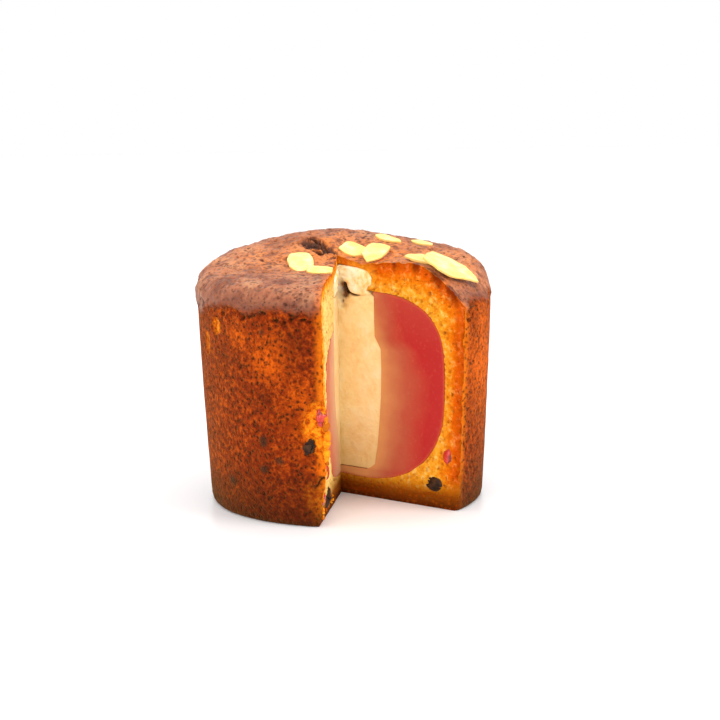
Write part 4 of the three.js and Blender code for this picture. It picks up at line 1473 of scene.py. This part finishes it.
        # Painted shade inside the splits and the wall's split, near black where deepest.
        colour = n.add("MixRGB", n.add("MapRange", crack, 0.05, 0.4, 0.0, 0.9), colour, "#5e2c12")
        colour = n.add("MixRGB", n.add("MapRange", crack, 0.4, 0.9, 0.0, 0.85), colour, "#240e04")
        knobby = n.add("Math", n.add("MapRange", knobs, 0.7, 0.3), skin, operation="MULTIPLY")
        bumps = ((n.add("MapRange", fleck, 0.3, 0.7), 0.30), (n.add("MapRange", grain, 0.3, 0.7), 0.10),
                 (hole, -0.25), (knobby, 1.0))
        return n.finish({"Base Color": colour, "Roughness": n.add("MapRange", skin, 0.0, 1.0, 0.8, 0.46),
                         "Specular IOR Level": n.add("MapRange", skin, 0.0, 1.0, 0.06, 0.42),
                         "Sheen Weight": n.add("MapRange", skin, 0.0, 1.0, 0.15, 0.02),
                         "Sheen Roughness": 0.45, "Sheen Tint": linear("#ffcd65")}, bumps)


@dataclass(frozen=True)
class CrumbFinish:
    """Cut pound cake crumb. Egg and butter make it golden, it is full of small pores, and it goes
    orange and then brown towards the crust."""

    golden: str = "#fbb53a"
    orange: str = "#e05c02"
    brown: str = "#a84402"

    def material(self) -> bpy.types.Material:
        """Colour by depth under the crust, with pores of 0.5 to 2 mm."""
        n = Nodes("cut_pound_cake_crumb")
        spot = n.add("TexCoord", output="Object")
        height = n.add("SeparateXYZ", spot, output="Z")
        fleck = n.add("TexNoise", {"Vector": spot, "Scale": per(1.7), "Detail": 5.0,
                                   "Roughness": 0.68})
        grain = n.add("TexNoise", {"Vector": spot, "Scale": per(0.6), "Detail": 3.0})
        cell = n.add("TexVoronoi", {"Vector": spot, "Scale": per(1.4)}, output="Distance")
        hole = n.add("MapRange", cell, 0.15, 0.42, 1.0, 0.0)
        depth = n.add("Attribute", output="Fac", attribute_name="depth")
        near = n.add("Attribute", output="Fac", attribute_name="near")
        side = n.add("Attribute", output="Fac", attribute_name="side")
        pore = n.add("Attribute", output="Fac", attribute_name="pore")
        burnt = n.add("Attribute", output="Fac", attribute_name="burnt")
        uneven = n.add("MapRange", fleck, 0.25, 0.75, -1.3, 1.3)
        ragged = n.add("Math", depth, uneven, operation="ADD")
        share = n.add("MapRange", ragged, 0.0, 8.0)
        colour = n.add("ValToRGB", share, stops=((0.0, self.brown), (0.06, "#c44c02"), (0.26, self.orange),
                                                 (0.55, "#f1860e"), (0.9, "#f8a828")))
        rich = n.add("MapRange", near, 0.3, 3.0, 0.7, 0.0)
        colour = n.add("MixRGB", rich, colour, "#faa92c")
        pale = n.add("ValToRGB", share, stops=((0.0, "#b85004"), (0.08, "#ee7c0c"), (0.26, "#f8ac2a"),
                                               (0.6, "#fddc7e")))
        colour = n.add("MixRGB", side, colour, pale)
        # Painted light on the crumb's relief: darker where the flecks sink, and painted highlights on their
        # crests.
        colour = n.add("MixRGB", n.add("MapRange", fleck, 0.5, 0.36, 0.0, 0.5), colour, "#d06a08")
        painted_fleck_highlight = n.add("Math", n.add("MapRange", fleck, 0.52, 0.66, 0.0, 0.65), share, operation="MULTIPLY")
        colour = n.add("MixRGB", painted_fleck_highlight, colour, "#ffdb80")
        low = n.add("MapRange", height, 0.0035, 0.0085, 0.95, 0.0)
        under = n.add("ValToRGB", n.add("MapRange", height, 0.0, 0.009),
                      stops=((0.0, "#401602"), (0.4, "#8a4404"), (1.0, "#c8900f")))
        colour = n.add("MixRGB", low, colour, under)
        # Painted shade in the pores.
        colour = n.add("MixRGB", n.add("MapRange", pore, 0.15, 0.9, 0.0, 0.8), colour, "#a04004")
        colour = n.add("MixRGB", n.add("Math", hole, 0.4, operation="MULTIPLY"), colour, "#b85404")
        colour = n.add("MixRGB", n.add("MapRange", burnt, 0.1, 0.9, 0.0, 0.9), colour, "#7c2802")
        bumps = ((n.add("MapRange", fleck, 0.3, 0.7), 0.40), (n.add("MapRange", grain, 0.3, 0.7), 0.14),
                 (hole, -0.18))
        return n.finish({"Base Color": colour, "Roughness": 0.8, "Specular IOR Level": 0.04,
                         "Subsurface Weight": 0.15, "Subsurface Radius": (1.0, 0.45, 0.2),
                         "Subsurface Scale": 0.001}, bumps)


@dataclass(frozen=True)
class LooseCrumbFinish:
    """Loose crumb of the same cake, each bit between golden and crust brown."""

    golden: str = "#f4a01c"
    brown: str = "#8c3a08"

    def material(self) -> bpy.types.Material:
        """Colour by each crumb's own number, with a fine grain."""
        n = Nodes("loose_pound_cake_crumb")
        spot = n.add("TexCoord", output="Object")
        grain = n.add("TexNoise", {"Vector": spot, "Scale": per(0.6), "Detail": 3.0})
        tone = n.add("Attribute", output="Fac", attribute_name="tone")
        colour = n.add("ValToRGB", tone, stops=((0.0, self.golden), (0.6, "#f08a10"), (1.0, self.brown)))
        colour = n.add("MixRGB", n.add("MapRange", grain, 0.45, 0.7, 0.0, 0.5), colour, "#c05c08")
        return n.finish({"Base Color": colour, "Roughness": 0.8, "Specular IOR Level": 0.12},
                        ((grain, 0.2),))


@dataclass(frozen=True)
class FleshFinish:
    """Poached stone fruit flesh. Its juice makes it moist and smooth, red under the skin and
    paler and browner towards the core."""

    red: str = "#b02b2a"
    rosy: str = "#b4563e"
    tan: str = "#d8985e"

    def material(self) -> bpy.types.Material:
        """Colour by distance from the core, reaching red sooner the higher up, and a thin dotted
        line of skin."""
        n = Nodes("poached_stone_fruit_flesh")
        spot = n.add("TexCoord", output="Object")
        height = n.add("SeparateXYZ", spot, output="Z")
        blotch = n.add("TexNoise", {"Vector": spot, "Scale": per(7.0), "Detail": 2.0})
        fibre = n.add("TexNoise", {"Vector": spot, "Scale": per(1.0), "Detail": 3.0})
        from_core = n.add("Attribute", output="Fac", attribute_name="from_core")
        from_skin = n.add("Attribute", output="Fac", attribute_name="from_skin")
        side = n.add("Attribute", output="Fac", attribute_name="side")
        drift = n.add("MapRange", blotch, 0.25, 0.75, -1.5, 1.5)
        reach = n.add("MapRange", height, 0.034, 0.050, 15.5, 7.5)
        share = n.add("Math", n.add("Math", from_core, drift, operation="ADD"), reach,
                      operation="DIVIDE", use_clamp=True)
        colour = n.add("ValToRGB", share, stops=((0.0, self.tan), (0.22, "#c47a50"), (0.5, self.rosy),
                                                 (0.8, "#b33c30"), (1.0, self.red)))
        colour = n.add("MixRGB", n.add("MapRange", height, 0.042, 0.054, 0.0, 0.45), colour, "#b44a3c")
        colour = n.add("MixRGB", side, colour, n.add("ValToRGB", share, stops=(
            (0.0, "#e2b88c"), (0.5, "#d29878"), (1.0, "#c4684e"))))
        colour = n.add("MixRGB", n.add("MapRange", from_skin, 0.25, 0.8, 0.5, 0.0), colour, "#c85c2c")
        dotted = n.add("MapRange", fibre, 0.42, 0.54, 0.0, 0.8)
        line = n.add("Math", n.add("MapRange", from_skin, 0.1, 0.3, 1.0, 0.0), dotted,
                     operation="MULTIPLY")
        colour = n.add("MixRGB", line, colour, "#8c2008")
        colour = n.add("MixRGB", n.add("MapRange", fibre, 0.56, 0.76, 0.0, 0.12), colour, "#d08068")
        return n.finish({"Base Color": colour, "Roughness": 0.42, "IOR": 1.38,
                         "Specular IOR Level": 0.2, "Subsurface Weight": 0.15,
                         "Subsurface Radius": (1.0, 0.3, 0.2), "Subsurface Scale": 0.002},
                        ((n.add("MapRange", blotch, 0.2, 0.8), 0.25), (fibre, 0.05)))


@dataclass(frozen=True)
class CreamFinish:
    """Baked cheese cream. It is pale yellow and softly moist, smeared by the knife below, and
    dry and crumbly where it rose out of the core."""

    pale: str = "#ffeabc"
    mid: str = "#fde0a4"
    deep: str = "#f6d090"

    def material(self) -> bpy.types.Material:
        """Smears of 4 mm, an olive seam in the corner, and painted shade where the lump has parted."""
        n = Nodes("baked_cheese_cream")
        spot = n.add("TexCoord", output="Object")
        height = n.add("SeparateXYZ", spot, output="Z")
        smear = n.add("TexNoise", {"Vector": spot, "Scale": per(4.0), "Detail": 4.0,
                                   "Roughness": 0.6})
        fine = n.add("TexNoise", {"Vector": spot, "Scale": per(0.8), "Detail": 3.0})
        rim = n.add("Attribute", output="Fac", attribute_name="rim")
        loose = n.add("Attribute", output="Fac", attribute_name="loose")
        seam = n.add("Attribute", output="Fac", attribute_name="seam")
        neck = n.add("Attribute", output="Fac", attribute_name="neck")
        colour = n.add("ValToRGB", smear, stops=((0.3, self.deep), (0.48, self.mid), (0.7, self.pale)))
        # Painted shade: the cream darkens towards the bottom of the notch.
        colour = n.add("MixRGB", n.add("MapRange", height, 0.009, 0.024, 0.6, 0.0), colour, "#dcb66a")
        colour = n.add("MixRGB", n.add("MapRange", rim, 0.0, 0.8, 0.3, 0.0), colour, "#f4c880")
        crumbly = n.add("ValToRGB", smear, stops=((0.37, "#f4bc62"), (0.47, "#fbe2ac"), (0.6, "#fff4d6")))
        colour = n.add("MixRGB", loose, colour, crumbly)
        colour = n.add("MixRGB", n.add("MapRange", seam, 0.2, 0.9, 0.0, 0.28), colour, "#ccbc6c")
        # Painted shade in the cleft under the lump and the hollow where it parted.
        colour = n.add("MixRGB", n.add("MapRange", neck, 0.15, 0.75, 0.0, 0.92), colour, "#6e3804")
        return n.finish({"Base Color": colour, "Roughness": 0.55, "IOR": 1.42,
                         "Specular IOR Level": 0.2, "Subsurface Weight": 0.2,
                         "Subsurface Radius": (1.0, 0.7, 0.35), "Subsurface Scale": 0.0015},
                        ((n.add("MapRange", smear, 0.3, 0.7), 0.25),
                         (n.add("MapRange", fine, 0.3, 0.7), 0.06)))


@dataclass(frozen=True)
class AlmondFinish:
    """Sliced blanched almond. The cut faces are pale yellow with faint growth lines, and the
    oven browns the thin edge."""

    pale: str = "#fde98e"
    toasted: str = "#e4a040"

    def material(self) -> bpy.types.Material:
        """Pale clouded faces and a toasted edge."""
        n = Nodes("sliced_blanched_almond")
        spot = n.add("TexCoord", output="Object")
        cloud = n.add("TexNoise", {"Vector": spot, "Scale": per(3.3), "Detail": 3.0})
        fine = n.add("TexNoise", {"Vector": spot, "Scale": per(0.55), "Detail": 2.0})
        edge = n.add("Attribute", output="Fac", attribute_name="edge")
        colour = n.add("ValToRGB", cloud, stops=((0.32, "#f5d878"), (0.5, self.pale), (0.68, "#fff3b0")))
        browned = n.add("Math", edge, n.add("MapRange", cloud, 0.3, 0.7, -0.05, 0.05), operation="ADD")
        colour = n.add("MixRGB", n.add("MapRange", browned, 0.93, 1.0, 0.0, 0.6), colour, self.toasted)
        return n.finish({"Base Color": colour, "Roughness": 0.6, "Specular IOR Level": 0.15},
                        ((n.add("MapRange", cloud, 0.3, 0.7), 0.12),
                         (n.add("MapRange", fine, 0.3, 0.7), 0.04)))


@dataclass(frozen=True)
class RaisinFinish:
    """Baked raisin. Its skin is nearly black, wrinkled, and catches a dull light on its folds."""

    skin: str = "#1e0e06"
    fold: str = "#4a2c14"

    def material(self) -> bpy.types.Material:
        """Dark skin, clouded browner, and near black in the creases of its folds as painted shade."""
        n = Nodes("baked_raisin_skin")
        spot = n.add("TexCoord", output="Object")
        cloud = n.add("TexNoise", {"Vector": spot, "Scale": per(1.4), "Detail": 4.0})
        fold = n.add("Attribute", output="Fac", attribute_name="fold")
        colour = n.add("MixRGB", n.add("MapRange", cloud, 0.35, 0.7), self.skin, self.fold)
        # Painted shade in the creases of the folds.
        colour = n.add("MixRGB", n.add("MapRange", fold, 0.1, 0.9, 0.0, 0.8), colour, "#0c0403")
        return n.finish({"Base Color": colour, "Roughness": 0.5, "Specular IOR Level": 0.16},
                        ((cloud, 0.15),))


@dataclass(frozen=True)
class CherryFinish:
    """Candied cherry. Sugar syrup makes it glassy, and the light goes a little way into its red
    flesh."""

    red: str = "#b41a16"
    dark: str = "#5c0a08"

    def material(self) -> bpy.types.Material:
        """Bright red under a clear gloss, with the creases of its folds darkened as painted shade."""
        n = Nodes("candied_cherry")
        spot = n.add("TexCoord", output="Object")
        cloud = n.add("TexNoise", {"Vector": spot, "Scale": per(2.0), "Detail": 3.0})
        fold = n.add("Attribute", output="Fac", attribute_name="fold")
        colour = n.add("MixRGB", n.add("MapRange", cloud, 0.35, 0.7), self.red, "#da4a3a")
        # Painted shade in the creases of the folds.
        colour = n.add("MixRGB", n.add("MapRange", fold, 0.1, 0.9, 0.0, 0.8), colour, self.dark)
        return n.finish({"Base Color": colour, "Roughness": 0.25, "IOR": 1.47,
                         "Specular IOR Level": 0.4, "Subsurface Weight": 0.25,
                         "Subsurface Radius": (1.0, 0.15, 0.15), "Subsurface Scale": 0.0015,
                         "Coat Weight": 0.4, "Coat Roughness": 0.15}, ((cloud, 0.1),))


@dataclass(frozen=True)
class FloorFinish:
    """Glazed white tableware, which gives a faint mirror of what stands on it."""

    white: str = "#ffffff"

    def material(self) -> bpy.types.Material:
        """Plain white under a soft gloss."""
        n = Nodes("glazed_white_floor")
        return n.finish({"Base Color": self.white, "Roughness": 0.3, "Specular IOR Level": 0.4})


# ---- Studio ----------------------------------------------------------------------------------
@dataclass(frozen=True)
class SoftBox:
    """A square white lamp that faces the cake: where it stands, its side and its power."""

    name: str
    place: tuple[float, float, float]
    side: float
    watts: float


@dataclass
class Studio:
    """The white floor, the soft light and the camera.

    Attributes:
        camera: The camera's place in millimetres.
        pitch: Degrees that it looks down.
        roll: Degrees that it is tipped.
        lens: Its focal length.
        frame: Width of the frame that the lens throws its image on.
        world: Strength of the white light from all round.
        lamps: The soft boxes, in metres and watts.
        aim: What they face, in metres.
    """

    camera: tuple[float, float, float] = (3.99, -440.0, 112.48)
    pitch: float = 9.81
    roll: float = -0.88
    lens: float = 83.09
    frame: float = 36.0
    world: float = 1.0
    lamps: tuple[SoftBox, ...] = (
        SoftBox("key", (0.95, -0.38, 0.62), 0.6, 7.0),
        SoftBox("front", (-0.35, -0.95, 0.40), 0.7, 4.0),
        SoftBox("side", (-0.95, -0.15, 0.35), 0.5, 1.6),
        SoftBox("overhead", (-0.1, 0.25, 1.1), 0.8, 1.5))
    aim: tuple[float, float, float] = (0.0, 0.0, 0.035)

    def floor(self) -> bpy.types.Object:
        """A floor of 4 m, level with the base."""
        mesh = bpy.data.meshes.new("floor")
        corners = [(-2, -2, 0), (2, -2, 0), (2, 2, 0), (-2, 2, 0)]
        mesh.from_pydata(corners, [], [(0, 1, 2, 3)])
        mesh.materials.append(FloorFinish().material())
        floor = bpy.data.objects.new("floor", mesh)
        bpy.context.scene.collection.objects.link(floor)
        return floor

    def light(self) -> None:
        """White light from all round, and the soft boxes turned to the cake."""
        world = bpy.data.worlds.new("studio")
        world.use_nodes = True
        world.node_tree.nodes["Background"].inputs["Color"].default_value = (1, 1, 1, 1)
        world.node_tree.nodes["Background"].inputs["Strength"].default_value = self.world
        bpy.context.scene.world = world
        for box in self.lamps:
            lamp = bpy.data.lights.new(box.name, "AREA")
            lamp.shape, lamp.size, lamp.energy = "SQUARE", box.side, box.watts
            holder = bpy.data.objects.new(box.name, lamp)
            holder.location = box.place
            way = Vector(self.aim) - Vector(box.place)
            holder.rotation_euler = way.to_track_quat("-Z", "Y").to_euler()
            bpy.context.scene.collection.objects.link(holder)

    def look(self) -> None:
        """Sets up the camera and plain colour handling."""
        data = bpy.data.cameras.new("camera")
        data.lens, data.sensor_width = self.lens, self.frame
        data.clip_start, data.clip_end = 0.01, 20.0
        camera = bpy.data.objects.new("camera", data)
        camera.location = Vector(self.camera) * MM
        turn = Euler((math.radians(90 - self.pitch), 0, 0)).to_matrix()
        camera.rotation_euler = (turn @ Euler((0, 0, math.radians(self.roll))).to_matrix()).to_euler()
        bpy.context.scene.collection.objects.link(camera)
        bpy.context.scene.camera = camera
        bpy.context.scene.view_settings.view_transform = "Standard"

    def build(self) -> None:
        """Makes the floor, the lamps and the camera."""
        self.floor()
        self.light()
        self.look()


def main() -> None:
    """Builds the cake from its largest piece to its smallest, then the studio."""
    logging.basicConfig(level=logging.INFO, format="%(name)s %(message)s")
    Sponge().build()
    Fruit().build()
    Cream().build()
    Almonds().build()
    DriedFruit().build()
    Crumbs().build()
    Studio().build()


if __name__ == "__main__":
    main()
